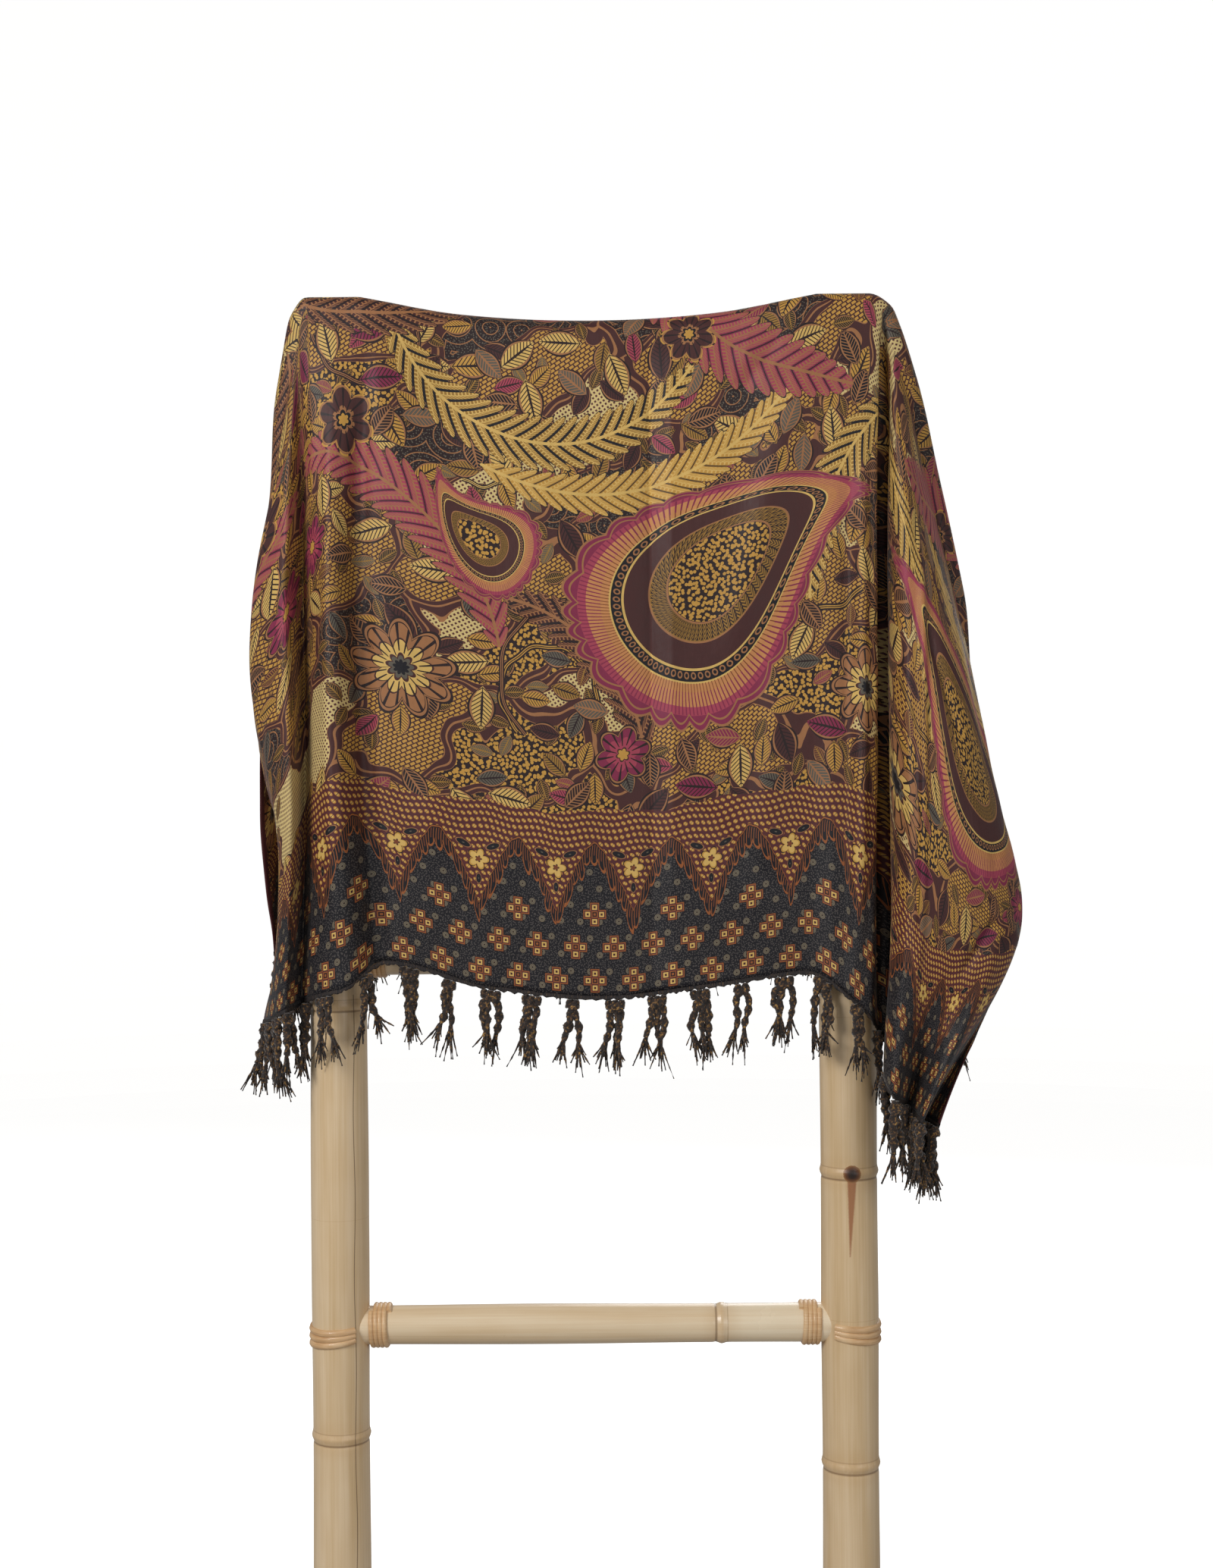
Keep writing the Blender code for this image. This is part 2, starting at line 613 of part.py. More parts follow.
def build_feet(collection):
    """Plain bars from front to back that the posts stand on."""
    finish = material("foot_wood", FOOT_TAN, 0.5)
    for name, side in (("foot_left", -1), ("foot_right", 1)):
        mesh = bpy.data.meshes.new(name)
        shape = bmesh.new()
        bmesh.ops.create_cube(shape, size=1.0)
        bmesh.ops.scale(shape, vec=(FOOT_WIDTH, FOOT_LENGTH, FOOT_HEIGHT), verts=shape.verts[:])
        shape.to_mesh(mesh)
        shape.free()
        foot = add_object(name, mesh, collection, finish)
        foot.location = (side * POST_X, 0.0, FOOT_HEIGHT / 2)
        edge = foot.modifiers.new("edge", "BEVEL")
        edge.width = FOOT_EDGE
        edge.segments = 2
        edge.limit_method = "ANGLE"


def place_on_origin(*collections):
    """Move every piece so that the origin is under the middle of the whole part's box."""
    for collection in collections:
        for piece in collection.objects:
            piece.location.x += LADDER_X


def main():
    """Clear the scene and build every sub-part."""
    for old in list(bpy.data.objects):
        bpy.data.objects.remove(old, do_unlink=True)
    collection = bpy.data.collections.new("batik_sarong_on_ladder")
    cutters = bpy.data.collections.new("cutters")
    bpy.context.scene.collection.children.link(collection)
    bpy.context.scene.collection.children.link(cutters)
    build_feet(collection)
    build_posts(collection)
    build_rungs(collection)
    build_collars(collection)
    build_bands(collection)
    build_cloth(collection)
    build_fringe(collection, "fringe_front", True)
    build_fringe(collection, "fringe_back", False)
    place_on_origin(collection, cutters)


main()
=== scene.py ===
"""Looks for the batik sarong on its bamboo ladder rack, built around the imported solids.

Metres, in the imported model's own frame: +Z up, -Y the front of the cloth. "Across" is the distance
measured along the cloth's width from the ladder's middle. "Drop" is the distance measured along its
length from the ridge that lies on the posts, negative in front and positive behind.
"""

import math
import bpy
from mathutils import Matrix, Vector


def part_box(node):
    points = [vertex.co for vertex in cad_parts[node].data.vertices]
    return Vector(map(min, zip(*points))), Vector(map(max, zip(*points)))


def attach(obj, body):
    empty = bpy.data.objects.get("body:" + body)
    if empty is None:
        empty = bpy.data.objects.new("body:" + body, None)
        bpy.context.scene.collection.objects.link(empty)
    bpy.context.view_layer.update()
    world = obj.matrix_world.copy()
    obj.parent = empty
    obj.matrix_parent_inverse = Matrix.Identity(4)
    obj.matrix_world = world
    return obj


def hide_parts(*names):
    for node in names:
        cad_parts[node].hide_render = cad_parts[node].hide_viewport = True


bl_info = {
    "name": "Batik sarong on a bamboo ladder",
    "version": (1, 0, 0),
    "blender": (4, 5, 0),
    "location": "View3D > Sidebar > Sarong",
    "description": "Draped batik cloth with yarn tassels, on a ladder rack of bamboo bound with rattan",
    "category": "Object",
}

from collections import namedtuple

import bpy
import numpy as np
from mathutils import Vector

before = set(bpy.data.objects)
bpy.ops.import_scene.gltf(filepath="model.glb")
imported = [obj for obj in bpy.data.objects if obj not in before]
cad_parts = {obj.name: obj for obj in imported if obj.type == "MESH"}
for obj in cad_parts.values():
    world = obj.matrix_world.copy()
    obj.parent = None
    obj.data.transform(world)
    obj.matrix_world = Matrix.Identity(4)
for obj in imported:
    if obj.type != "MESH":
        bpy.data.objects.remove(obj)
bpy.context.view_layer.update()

POST_LOW, POST_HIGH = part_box("post_left")
LADDER_X = (POST_LOW.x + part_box("post_right")[1].x) / 2
POST_X = 0.243
POST_RADIUS = 0.027
POST_TOP = POST_HIGH.z
POST_BASE = POST_LOW.z
LEFT_POST_NODES = (0.10, 0.44, 0.85, 1.17, 1.44)
RIGHT_POST_NODES = (0.13, 0.41, 0.688, 0.98, 1.30)
RUNG_HEIGHTS = (0.190, 0.5425, 0.895, 1.2475)
RUNG_NODES = (-0.06, 0.1204, -0.11, 0.05)
RUNG_RADIUS = 0.0185

CLOTH_WALL = 0.0009
LEFT_EDGE = -0.475
RIGHT_EDGE = 0.675
FRONT_DROP = 0.640
BACK_DROP = 0.575
CLOTH_WIDTH = RIGHT_EDGE - LEFT_EDGE
CLOTH_LENGTH = FRONT_DROP + BACK_DROP
RIDGE_TOP = POST_TOP + 0.00115
RIDGE_SAG = 0.021
FLAT_HALF_WIDTH = 0.022
ARCH_DROP = 0.036
CHEST_DROP = 0.22
BORDER_DROP = 0.43
BACK_MIDDLE_DROP = 0.30

EDGE_TUCK = 0.010
LEFT_TUCK = (0.36, 0.475)
RIGHT_TUCK = (0.57, 0.675)
TUCK_FALL = (0.02, 0.18)
RELIEF_FALL = (0.012, 0.070)
CREASE_FADE = 0.25
TASSEL_SPACING = 0.0396
FRINGE_BAND = 0.0045
FRINGE_BAND_TOP = 0.0012
FRINGE_BAND_LAP = 0.002
FRINGE_BAND_HALF_WALL = 0.0006
HEM_STEP = 0.008

Overhang = namedtuple("Overhang", "beyond slope_degrees depth")
LEFT_OVERHANG = (
    Overhang(0.0, 0, 0.0),
    Overhang(0.01, 52, 0.0),
    Overhang(0.022, 60, 0.0),
    Overhang(0.036, 76, 0.001),
    Overhang(0.07, 79, 0.003),
    Overhang(0.215, 80, 0.006),
)
RIGHT_OVERHANG = (
    Overhang(0.0, 0, 0.0),
    Overhang(0.004, 14, 0.0),
    Overhang(0.012, 30, 0.0),
    Overhang(0.02, 38, 0.001),
    Overhang(0.027, 54, 0.001),
    Overhang(0.035, 66, 0.002),
    Overhang(0.048, 69, 0.003),
    Overhang(0.1, 72, 0.012),
    Overhang(0.2, 77, 0.036),
    Overhang(0.3, 79, 0.034),
    Overhang(0.42, 81, 0.022),
)

Arch = namedtuple("Arch", "across half_depth radius")
ARCHES = (
    Arch(-0.475, 0.008, 0.005),
    Arch(-0.33, 0.026, 0.014),
    Arch(-0.262, 0.03, 0.012),
    Arch(-0.21, 0.03, 0.012),
    Arch(-0.12, 0.02, 0.016),
    Arch(0.12, 0.02, 0.016),
    Arch(0.21, 0.03, 0.012),
    Arch(0.262, 0.03, 0.012),
    Arch(0.35, 0.03, 0.016),
    Arch(0.5, 0.024, 0.014),
    Arch(0.675, 0.01, 0.006),
)

Fold = namedtuple("Fold", "name across chest border hem")
FRONT_FOLDS = (
    Fold("left edge", -0.475, (-0.3185, 0.006, 1.11), (-0.2865, -0.012, 0.968), (-0.318, 0.018, 0.832)),
    Fold("left outline", -0.395, (-0.324, -0.008, 1.185), (-0.2935, -0.037, 0.99), (-0.302, -0.024, 0.839)),
    Fold("left strip", -0.345, (-0.286, -0.043, 1.235), (-0.28, -0.05, 1.025), (-0.288, -0.04, 0.848)),
    Fold("left valley", -0.305, (-0.2725, -0.011, 1.28), (-0.272, -0.01, 1.075), (-0.276, -0.012, 0.853)),
    Fold("left pleat side", -0.27, (-0.26, -0.031, 1.302), (-0.26, -0.033, 1.096), (-0.26, -0.04, 0.861)),
    Fold("left pleat", -0.235, (-0.24, -0.043, 1.311), (-0.239, -0.053, 1.104), (-0.23, -0.057, 0.87)),
    Fold("left pleat foot", -0.2, (-0.211, -0.03, 1.309), (-0.207, -0.03, 1.099), (-0.195, -0.031, 0.892)),
    Fold("left panel", -0.1, (-0.1, -0.027, 1.293), (-0.099, -0.028, 1.081), (-0.098, -0.03, 0.868)),
    Fold("middle panel", 0.01, (0.01, -0.025, 1.288), (0.01, -0.027, 1.072), (0.01, -0.031, 0.8575)),
    Fold("right panel", 0.11, (0.11, -0.027, 1.294), (0.11, -0.028, 1.081), (0.11, -0.03, 0.868)),
    Fold("right strip foot", 0.205, (0.207, -0.031, 1.309), (0.205, -0.031, 1.097), (0.204, -0.031, 0.88)),
    Fold("right strip", 0.247, (0.244, -0.036, 1.31), (0.243, -0.041, 1.096), (0.239, -0.046, 0.858)),
    Fold("right strip side", 0.283, (0.269, -0.033, 1.303), (0.268, -0.036, 1.086), (0.26, -0.043, 0.838)),
    Fold("right valley", 0.306, (0.276, -0.01, 1.288), (0.2755, -0.009, 1.064), (0.2725, -0.02, 0.818)),
    Fold("right valley wall", 0.324, (0.279, -0.014, 1.272), (0.28, -0.018, 1.042), (0.2815, -0.034, 0.804)),
    Fold("right crest wall", 0.342, (0.283, -0.048, 1.244), (0.281, -0.058, 1.008), (0.268, -0.066, 0.786)),
    Fold("right crest", 0.364, (0.295, -0.066, 1.218), (0.292, -0.086, 0.978), (0.274, -0.083, 0.772)),
    Fold("right panel fold", 0.44, (0.326, -0.07, 1.16), (0.325, -0.092, 0.94), (0.295, -0.04, 0.757)),
    Fold("right outer fold", 0.526, (0.362, -0.048, 1.095), (0.37, -0.08, 0.935), (0.301, -0.084, 0.748)),
    Fold("right outline", 0.6, (0.379, -0.02, 1.06), (0.4, -0.048, 0.93), (0.309, -0.044, 0.745)),
    Fold("right edge", 0.675, (0.372, 0.01, 1.035), (0.39, -0.014, 0.915), (0.319, -0.07, 0.742)),
)

BackFold = namedtuple("BackFold", "name across middle hem")
BACK_FOLDS = (
    BackFold("left edge", -0.475, (-0.324, 0.044, 1.04), (-0.312, 0.046, 0.895)),
    BackFold("left outer fold", -0.41, (-0.306, 0.064, 1.105), (-0.302, 0.07, 0.898)),
    BackFold("left inner fold", -0.35, (-0.288, 0.052, 1.16), (-0.289, 0.056, 0.905)),
    BackFold("left valley", -0.3, (-0.279, 0.02, 1.195), (-0.278, 0.022, 0.912)),
    BackFold("left post side", -0.262, (-0.263, 0.035, 1.225), (-0.259, 0.041, 0.925)),
    BackFold("left post", -0.222, (-0.227, 0.037, 1.236), (-0.225, 0.046, 0.935)),
    BackFold("left panel", -0.15, (-0.15, 0.03, 1.226), (-0.15, 0.031, 0.94)),
    BackFold("middle panel", 0.0, (0.0, 0.026, 1.208), (0.0, 0.03, 0.925)),
    BackFold("right panel", 0.15, (0.15, 0.03, 1.226), (0.15, 0.031, 0.938)),
    BackFold("right post", 0.222, (0.227, 0.037, 1.236), (0.225, 0.044, 0.932)),
    BackFold("right post side", 0.262, (0.263, 0.035, 1.225), (0.26, 0.039, 0.922)),
    BackFold("right valley", 0.305, (0.279, 0.018, 1.19), (0.279, 0.02, 0.902)),
    BackFold("right inner fold", 0.36, (0.292, 0.062, 1.14), (0.289, 0.074, 0.884)),
    BackFold("right outer fold", 0.44, (0.324, 0.092, 1.075), (0.306, 0.098, 0.866)),
    BackFold("right return", 0.52, (0.35, 0.08, 1.01), (0.328, 0.066, 0.852)),
    BackFold("right last fold", 0.6, (0.362, 0.056, 0.965), (0.344, 0.08, 0.848)),
    BackFold("right edge", 0.675, (0.364, 0.046, 0.93), (0.356, 0.05, 0.845)),
)

Crease = namedtuple("Crease", "name across_1 drop_1 across_2 drop_2 width height sharp")
FRONT_CREASES = (
    Crease("pressed centre fold", 0.058, -0.1, 0.057, 0.78, 0.014, -0.0078, True),
    Crease("pressed second fold", 0.078, 0.02, 0.077, 0.63, 0.006, 0.0024, True),
    Crease("upper cross, rising", 0.135, 0.105, 0.185, 0.05, 0.006, -0.0034, True),
    Crease("upper cross, falling", 0.14, 0.055, 0.18, 0.11, 0.006, 0.0034, True),
    Crease("lower right slant", 0.088, 0.455, 0.182, 0.575, 0.0085, -0.0056, True),
    Crease("middle slant", -0.062, 0.285, -0.036, 0.345, 0.008, -0.0046, True),
    Crease("left drag", -0.21, 0.05, -0.11, 0.33, 0.022, 0.0056, False),
    Crease("left drag below", -0.185, 0.26, -0.135, 0.56, 0.018, 0.0052, False),
    Crease("right drag", 0.205, 0.06, 0.125, 0.36, 0.02, 0.0056, False),
    Crease("right drag below", 0.185, 0.33, 0.15, 0.6, 0.016, 0.005, False),
    Crease("middle swell", -0.03, 0.12, -0.02, 0.56, 0.035, 0.002, False),
    Crease("left tube", -0.24, 0.11, -0.236, 0.64, 0.011, 0.0045, False),
    Crease("left tube's dark side", -0.2065, 0.04, -0.2035, 0.76, 0.0085, -0.0095, False),
    Crease("left pleat cross", -0.262, 0.215, -0.222, 0.262, 0.0045, -0.002, False),
    Crease("right strip crease", 0.263, 0.1, 0.259, 0.62, 0.0062, 0.0046, False),
    Crease("right strip's dark side", 0.245, 0.12, 0.24, 0.74, 0.0095, -0.0068, False),
    Crease("right valley's depth", 0.306, -0.1, 0.311, 0.68, 0.013, -0.015, False),
    Crease("right panel ridge", 0.392, 0.11, 0.384, 0.56, 0.008, 0.0052, False),
    Crease("right panel slant", 0.396, 0.205, 0.48, 0.262, 0.0065, -0.006, True),
    Crease("right panel low slant", 0.53, 0.43, 0.47, 0.5, 0.008, -0.005, False),
    Crease("right panel upper slant", 0.4, 0.075, 0.455, 0.13, 0.008, -0.0014, False),
    Crease("right panel hem slant", 0.43, 0.38, 0.6, 0.47, 0.008, 0.0036, False),
    Crease("left strip slant", -0.35, 0.25, -0.4, 0.33, 0.006, -0.0016, False),
)
BACK_CREASES = (
    Crease("back pressed fold", 0.058, -0.1, 0.056, 0.7, 0.012, -0.005, True),
    Crease("back left drag", -0.21, 0.06, -0.11, 0.36, 0.02, 0.0022, False),
    Crease("back right drag", 0.205, 0.06, 0.12, 0.34, 0.02, 0.0022, False),
    Crease("back low drag", 0.19, 0.33, 0.13, 0.56, 0.016, 0.0018, False),
    Crease("back slant", -0.08, 0.25, 0.01, 0.38, 0.005, 0.0016, True),
    Crease("back right slant", 0.4, 0.24, 0.48, 0.3, 0.007, -0.0024, False),
    Crease("back left slant", -0.36, 0.26, -0.41, 0.33, 0.007, -0.002, False),
    Crease("back middle swell", -0.02, 0.1, -0.03, 0.52, 0.035, 0.002, False),
)

Ripple = namedtuple("Ripple", "across_waves drop_waves height phase")
RIPPLES = (
    Ripple(9.0, 1.6, 0.0005, 0.4),
    Ripple(15.0, -2.3, 0.00034, 2.1),
    Ripple(23.0, 4.1, 0.00022, 1.2),
    Ripple(6.0, 7.4, 0.0003, 4.0),
    Ripple(-11.0, 12.5, 0.0002, 5.2),
    Ripple(31.0, -9.0, 0.00014, 0.9),
)

Run = namedtuple("Run", "end count")
COLUMN_RUNS = (
    Run(-0.240, 50),
    Run(-0.190, 12),
    Run(0.040, 34),
    Run(0.090, 20),
    Run(0.190, 18),
    Run(0.250, 14),
    Run(0.460, 54),
    Run(RIGHT_EDGE, 40),
)
ARCH_ROWS = 8
FRONT_ROWS = 106
BACK_ROWS = 72


def even_steps(start, runs):
    """Places along a line, evenly spaced within each run."""
    places = [np.array([start])]
    for run in runs:
        places.append(np.linspace(places[-1][-1], run.end, run.count + 1)[1:])
    return np.concatenate(places)


def ease(value, low, high):
    """Smooth step from 0 at low to 1 at high."""
    t = np.clip((value - low) / (high - low), 0.0, 1.0)
    return t * t * (3 - 2 * t)


def knot_slopes(knots, values):
    """Slopes of a monotone cubic, so that no fold overshoots its own crest."""
    width = np.diff(knots)[:, None]
    rise = np.diff(values, axis=0) / width
    before, after = rise[:-1], rise[1:]
    first_weight = 2 * width[1:] + width[:-1]
    last_weight = width[1:] + 2 * width[:-1]
    same_way = before * after > 0
    safe_before = np.where(same_way, before, 1.0)
    safe_after = np.where(same_way, after, 1.0)
    harmonic = (first_weight + last_weight) / (first_weight / safe_before + last_weight / safe_after)
    slopes = np.zeros_like(values)
    slopes[1:-1] = np.where(same_way, harmonic, 0.0)
    slopes[0] = rise[0]
    slopes[-1] = rise[-1]
    return slopes


def read_rows(knots, values, at):
    """Read rows of values at many places between their knots, one result row for each place."""
    knots = np.asarray(knots, float)
    values = np.asarray(values, float)
    slopes = knot_slopes(knots, values)
    at = np.clip(np.asarray(at, float), knots[0], knots[-1])
    i = np.clip(np.searchsorted(knots, at, side="right") - 1, 0, len(knots) - 2)
    width = (knots[i + 1] - knots[i])[:, None]
    t = (at - knots[i])[:, None] / width
    rise = 3 * t**2 - 2 * t**3
    return (
        (1 - rise) * values[i]
        + rise * values[i + 1]
        + (t - 2 * t**2 + t**3) * width * slopes[i]
        + (t**3 - t**2) * width * slopes[i + 1]
    )


def follow_overhang(rows, beyond):
    """Follow the ridge past a post by its own length. Returns outward, depth, fall and slope."""
    step = 0.0005
    along = np.arange(0.0, rows[-1].beyond + step, step)
    knots = [row.beyond for row in rows]
    values = [(row.slope_degrees, row.depth) for row in rows]
    slope = np.radians(read_rows(knots, values, along[:-1] + step / 2)[:, 0])
    depth = read_rows(knots, values, along)[:, 1]
    run = np.sqrt(np.maximum(step**2 - np.diff(depth) ** 2, 0.0))
    outward = np.concatenate([[0.0], np.cumsum(run * np.cos(slope))])
    fall = np.concatenate([[0.0], np.cumsum(run * np.sin(slope))])
    slope = np.append(slope, slope[-1])
    return [np.interp(beyond, along, column) for column in (outward, depth, fall, slope)]


def ridge(across):
    """Points on the ridge, and the way its outer side faces."""
    flat_end = POST_X + FLAT_HALF_WIDTH
    inside = np.minimum(np.abs(across) / (POST_X - POST_RADIUS), 1.0)
    points = np.stack([across, 0 * across, RIDGE_TOP - RIDGE_SAG * (1 - inside**2)], axis=1)
    outer = np.tile((0.0, 0.0, 1.0), (len(across), 1))
    for side, rows in ((-1, LEFT_OVERHANG), (1, RIGHT_OVERHANG)):
        chosen = side * across > flat_end
        outward, depth, fall, slope = follow_overhang(rows, side * across[chosen] - flat_end)
        points[chosen] = np.stack([side * (flat_end + outward), depth, RIDGE_TOP - fall], axis=1)
        outer[chosen] = np.stack([side * np.sin(slope), 0 * slope, np.cos(slope)], axis=1)
    return points, outer


def arch_points(across, shares, front):
    """Rows of points on the arch over the ridge: flat on top, then a quarter turn."""
    top, outer = ridge(across)
    sizes = read_rows([a.across for a in ARCHES], [(a.half_depth, a.radius) for a in ARCHES], across)
    half_depth, radius = sizes.T
    flat = half_depth - radius
    toward = -1 if front else 1
    rows = []
    for share in shares:
        along = share * (flat + radius * math.pi / 2)
        turn = np.maximum(along - flat, 0.0) / radius
        reach = np.minimum(along, flat) + radius * np.sin(turn)
        fall = radius * (1 - np.cos(turn))
        rows.append(top + toward * reach[:, None] * np.array((0.0, 1.0, 0.0)) - fall[:, None] * outer)
    return np.array(rows)


def layer_points(across, drops, front):
    """Rows of points of the front or the back layer below the arch."""
    if front:
        knots = [ARCH_DROP, CHEST_DROP, BORDER_DROP, FRONT_DROP]
        folds = [(f.across, f.chest + f.border + f.hem) for f in FRONT_FOLDS]
    else:
        knots = [ARCH_DROP, BACK_MIDDLE_DROP, BACK_DROP]
        folds = [(f.across, f.middle + f.hem) for f in BACK_FOLDS]
    stations = read_rows([f[0] for f in folds], [f[1] for f in folds], across)
    stations = stations.reshape(len(across), -1, 3).transpose(1, 0, 2)
    rows = np.concatenate([arch_points(across, [1.0], front), stations])
    return read_rows(knots, rows.reshape(len(knots), -1), drops).reshape(len(drops), len(across), 3)


def cloth_rows(across, drops):
    """The cloth's middle surface, a row of points for each signed drop, before its creases."""
    rows = []
    for drop in drops:
        front = drop <= 0
        if abs(drop) <= ARCH_DROP:
            rows.append(arch_points(across, [abs(drop) / ARCH_DROP], front)[0])
        else:
            rows.append(layer_points(across, [abs(drop)], front)[0])
    return np.array(rows)


def crease_relief(across, drop, creases):
    """How far the creases of one layer stand out at each point. Both arrays have one shape."""
    relief = np.zeros_like(across)
    for crease in creases:
        run = np.array((crease.across_2 - crease.across_1, crease.drop_2 - crease.drop_1))
        length = float(np.hypot(*run))
        run /= length
        from_start = np.stack([across - crease.across_1, drop - crease.drop_1], axis=-1)
        share = from_start @ run / length
        off_line = np.abs(from_start @ np.array((-run[1], run[0]))) / crease.width
        form = np.exp(-off_line) if crease.sharp else np.exp(-(off_line**2))
        relief += crease.height * form * ease(share, 0.0, CREASE_FADE) * ease(1 - share, 0.0, CREASE_FADE)
    return relief


def ripple_relief(across, drop):
    """Fine uneven ripples that all soft cloth has."""
    relief = np.zeros_like(across)
    for ripple in RIPPLES:
        turns = ripple.across_waves * across + ripple.drop_waves * drop
        swell = 0.6 + 0.4 * np.sin(5.0 * across - 7.0 * drop + 2 * ripple.phase)
        relief += ripple.height * swell * np.sin(2 * math.pi * turns + ripple.phase)
    return relief


def grid_normals(points):
    """Outward normals of a grid of points whose rows run from the front hem over to the back hem."""
    along_width = np.gradient(points, axis=1)
    along_length = np.gradient(points, axis=0)
    normals = np.cross(along_width, along_length)
    return normals / np.linalg.norm(normals, axis=2)[:, :, None]


def faces_between(corner):
    """Four-cornered faces between rows and columns of corner numbers, facing along grid_normals."""
    faces = np.stack([corner[:-1, :-1], corner[:-1, 1:], corner[1:, 1:], corner[1:, :-1]], axis=-1)
    return faces.reshape(-1, 4)


def grid_faces(rows, columns):
    """Faces of a whole grid of points."""
    return faces_between(np.arange(rows * columns).reshape(rows, columns))


def cloth_grid(settings):
    """Columns, signed drops and finished points of the draped cloth."""
    columns = even_steps(LEFT_EDGE, COLUMN_RUNS)
    arch = np.linspace(0, ARCH_DROP, ARCH_ROWS + 1)[1:]
    front = np.concatenate([arch, np.linspace(ARCH_DROP, FRONT_DROP, FRONT_ROWS + 1)[1:]])
    back = np.concatenate([arch, np.linspace(ARCH_DROP, BACK_DROP, BACK_ROWS + 1)[1:]])
    drops = np.concatenate([-front[::-1], [0.0], back])
    points = cloth_rows(columns, drops)
    across, drop = np.meshgrid(columns, drops)
    fall = np.abs(drop)
    in_front = drop <= 0
    relief = np.where(
        in_front, crease_relief(across, fall, FRONT_CREASES), crease_relief(across, fall, BACK_CREASES)
    )
    relief = settings.crease_strength * relief + settings.ripple_strength * ripple_relief(across, drop)
    points = points + (relief * ease(fall, *RELIEF_FALL))[:, :, None] * grid_normals(points)
    near_ridge = 1 - ease(fall, *TUCK_FALL)
    points[:, :, 0] += EDGE_TUCK * ease(-across, *LEFT_TUCK) * near_ridge
    points[:, :, 0] -= EDGE_TUCK * ease(across, *RIGHT_TUCK) * near_ridge
    return columns, drops, points


def new_mesh(name, points, faces):
    """A mesh from arrays of points and of faces with the same number of corners."""
    mesh = bpy.data.meshes.new(name)
    mesh.from_pydata(points.reshape(-1, 3).tolist(), [], faces.tolist())
    mesh.update()
    return mesh


def link(name, data):
    """A new object with this data, in the scene."""
    made = bpy.data.objects.new(name, data)
    bpy.context.scene.collection.objects.link(made)
    return made


def add_piece(name, mesh, finish):
    """Put a mesh in the scene as one named piece, shifted to where the ladder stands."""
    places = np.zeros(len(mesh.vertices) * 3)
    mesh.vertices.foreach_get("co", places)
    places[::3] += LADDER_X
    mesh.vertices.foreach_set("co", places)
    mesh.materials.clear()
    mesh.materials.append(finish)
    mesh.shade_smooth()
    return link(name, mesh)


def settle(piece, replaced):
    """Let a finished piece ride on the part's one body and stand for its solids."""
    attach(piece, "root")
    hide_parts(*replaced)


def hem_places(across, front):
    """Points on a hem of the draped cloth, with the way down and the way out."""
    drop = -FRONT_DROP if front else BACK_DROP
    inner_step = HEM_STEP if front else -HEM_STEP
    edge, inner = cloth_rows(across, [drop, drop + inner_step])
    down = edge - inner
    down /= np.linalg.norm(down, axis=1)[:, None]
    out = np.cross(down, np.gradient(edge, axis=0))
    out /= np.linalg.norm(out, axis=1)[:, None]
    return edge, down, out


def tassel_places():
    """Across positions of the tassels, evenly along the hem."""
    count = int(CLOTH_WIDTH / TASSEL_SPACING)
    middle = (LEFT_EDGE + RIGHT_EDGE) / 2
    return middle + (np.arange(count) - (count - 1) / 2) * TASSEL_SPACING


class Shape:
    """Points, edges and per-point values gathered for one mesh of paths or faces."""

    def __init__(self):
        self.points = []
        self.edges = []
        self.values = {}

    def add_path(self, path, **values):
        """Add one open path of points. Each value is one number or a number for each point."""
        start = len(self.points)
        self.points += [tuple(point) for point in path]
        self.edges += [(start + i, start + i + 1) for i in range(len(path) - 1)]
        for name, value in values.items():
            whole = np.broadcast_to(np.asarray(value, float), (len(path),))
            self.values.setdefault(name, []).extend(whole.tolist())

    def mesh(self, name):
        """The gathered paths as a mesh of edges with their values as point attributes."""
        mesh = bpy.data.meshes.new(name)
        mesh.from_pydata(self.points, self.edges, [])
        for label, values in self.values.items():
            mesh.attributes.new(label, "FLOAT", "POINT").data.foreach_set("value", values)
        return mesh


class Tree:
    """Builds a geometry node tree with named inputs, one line for each node."""

    def __init__(self, name, sizes):
        self.tree = bpy.data.node_groups.new(name, "GeometryNodeTree")
        self.tree.interface.new_socket("Paths", in_out="INPUT", socket_type="NodeSocketGeometry")
        for label, kind in sizes:
            self.tree.interface.new_socket(label, in_out="INPUT", socket_type=f"NodeSocket{kind}")
        self.tree.interface.new_socket("Result", in_out="OUTPUT", socket_type="NodeSocketGeometry")
        self.start = self.tree.nodes.new("NodeGroupInput").outputs

    def node(self, kind, settings=None, **sockets):
        """Add a node, set its settings first and then its sockets. Spaces in socket names are _."""
        made = self.tree.nodes.new(kind)
        for key, value in (settings or {}).items():
            setattr(made, key, value)
        for key, value in sockets.items():
            label = key.replace("_", " ")
            places = [s for s in made.inputs if s.name == label and s.enabled]
            place = places[0] if places else made.inputs[int(key.strip("i"))]
            if isinstance(value, bpy.types.NodeSocket):
                self.tree.links.new(value, place)
            else:
                place.default_value = value
        return made.outputs[0]

    def maths(self, operation, *terms):
        """One Math node."""
        return self.node(
            "ShaderNodeMath", {"operation": operation}, **{f"i{i}": term for i, term in enumerate(terms)}
        )

    def end(self, geometry, material_name):
        """Close the tree with realized instances and the material of this name."""
        real = self.node("GeometryNodeRealizeInstances", Geometry=geometry)
        done = self.node(
            "GeometryNodeSetMaterial", Geometry=real, Material=bpy.data.materials[material_name]
        )
        self.tree.links.new(done, self.tree.nodes.new("NodeGroupOutput").inputs[0])
        return self.tree


STRAND_SIZES = (("Radius", "Float"), ("Turns per metre", "Float"), ("Lobe depth", "Float"), ("Sides", "Int"))


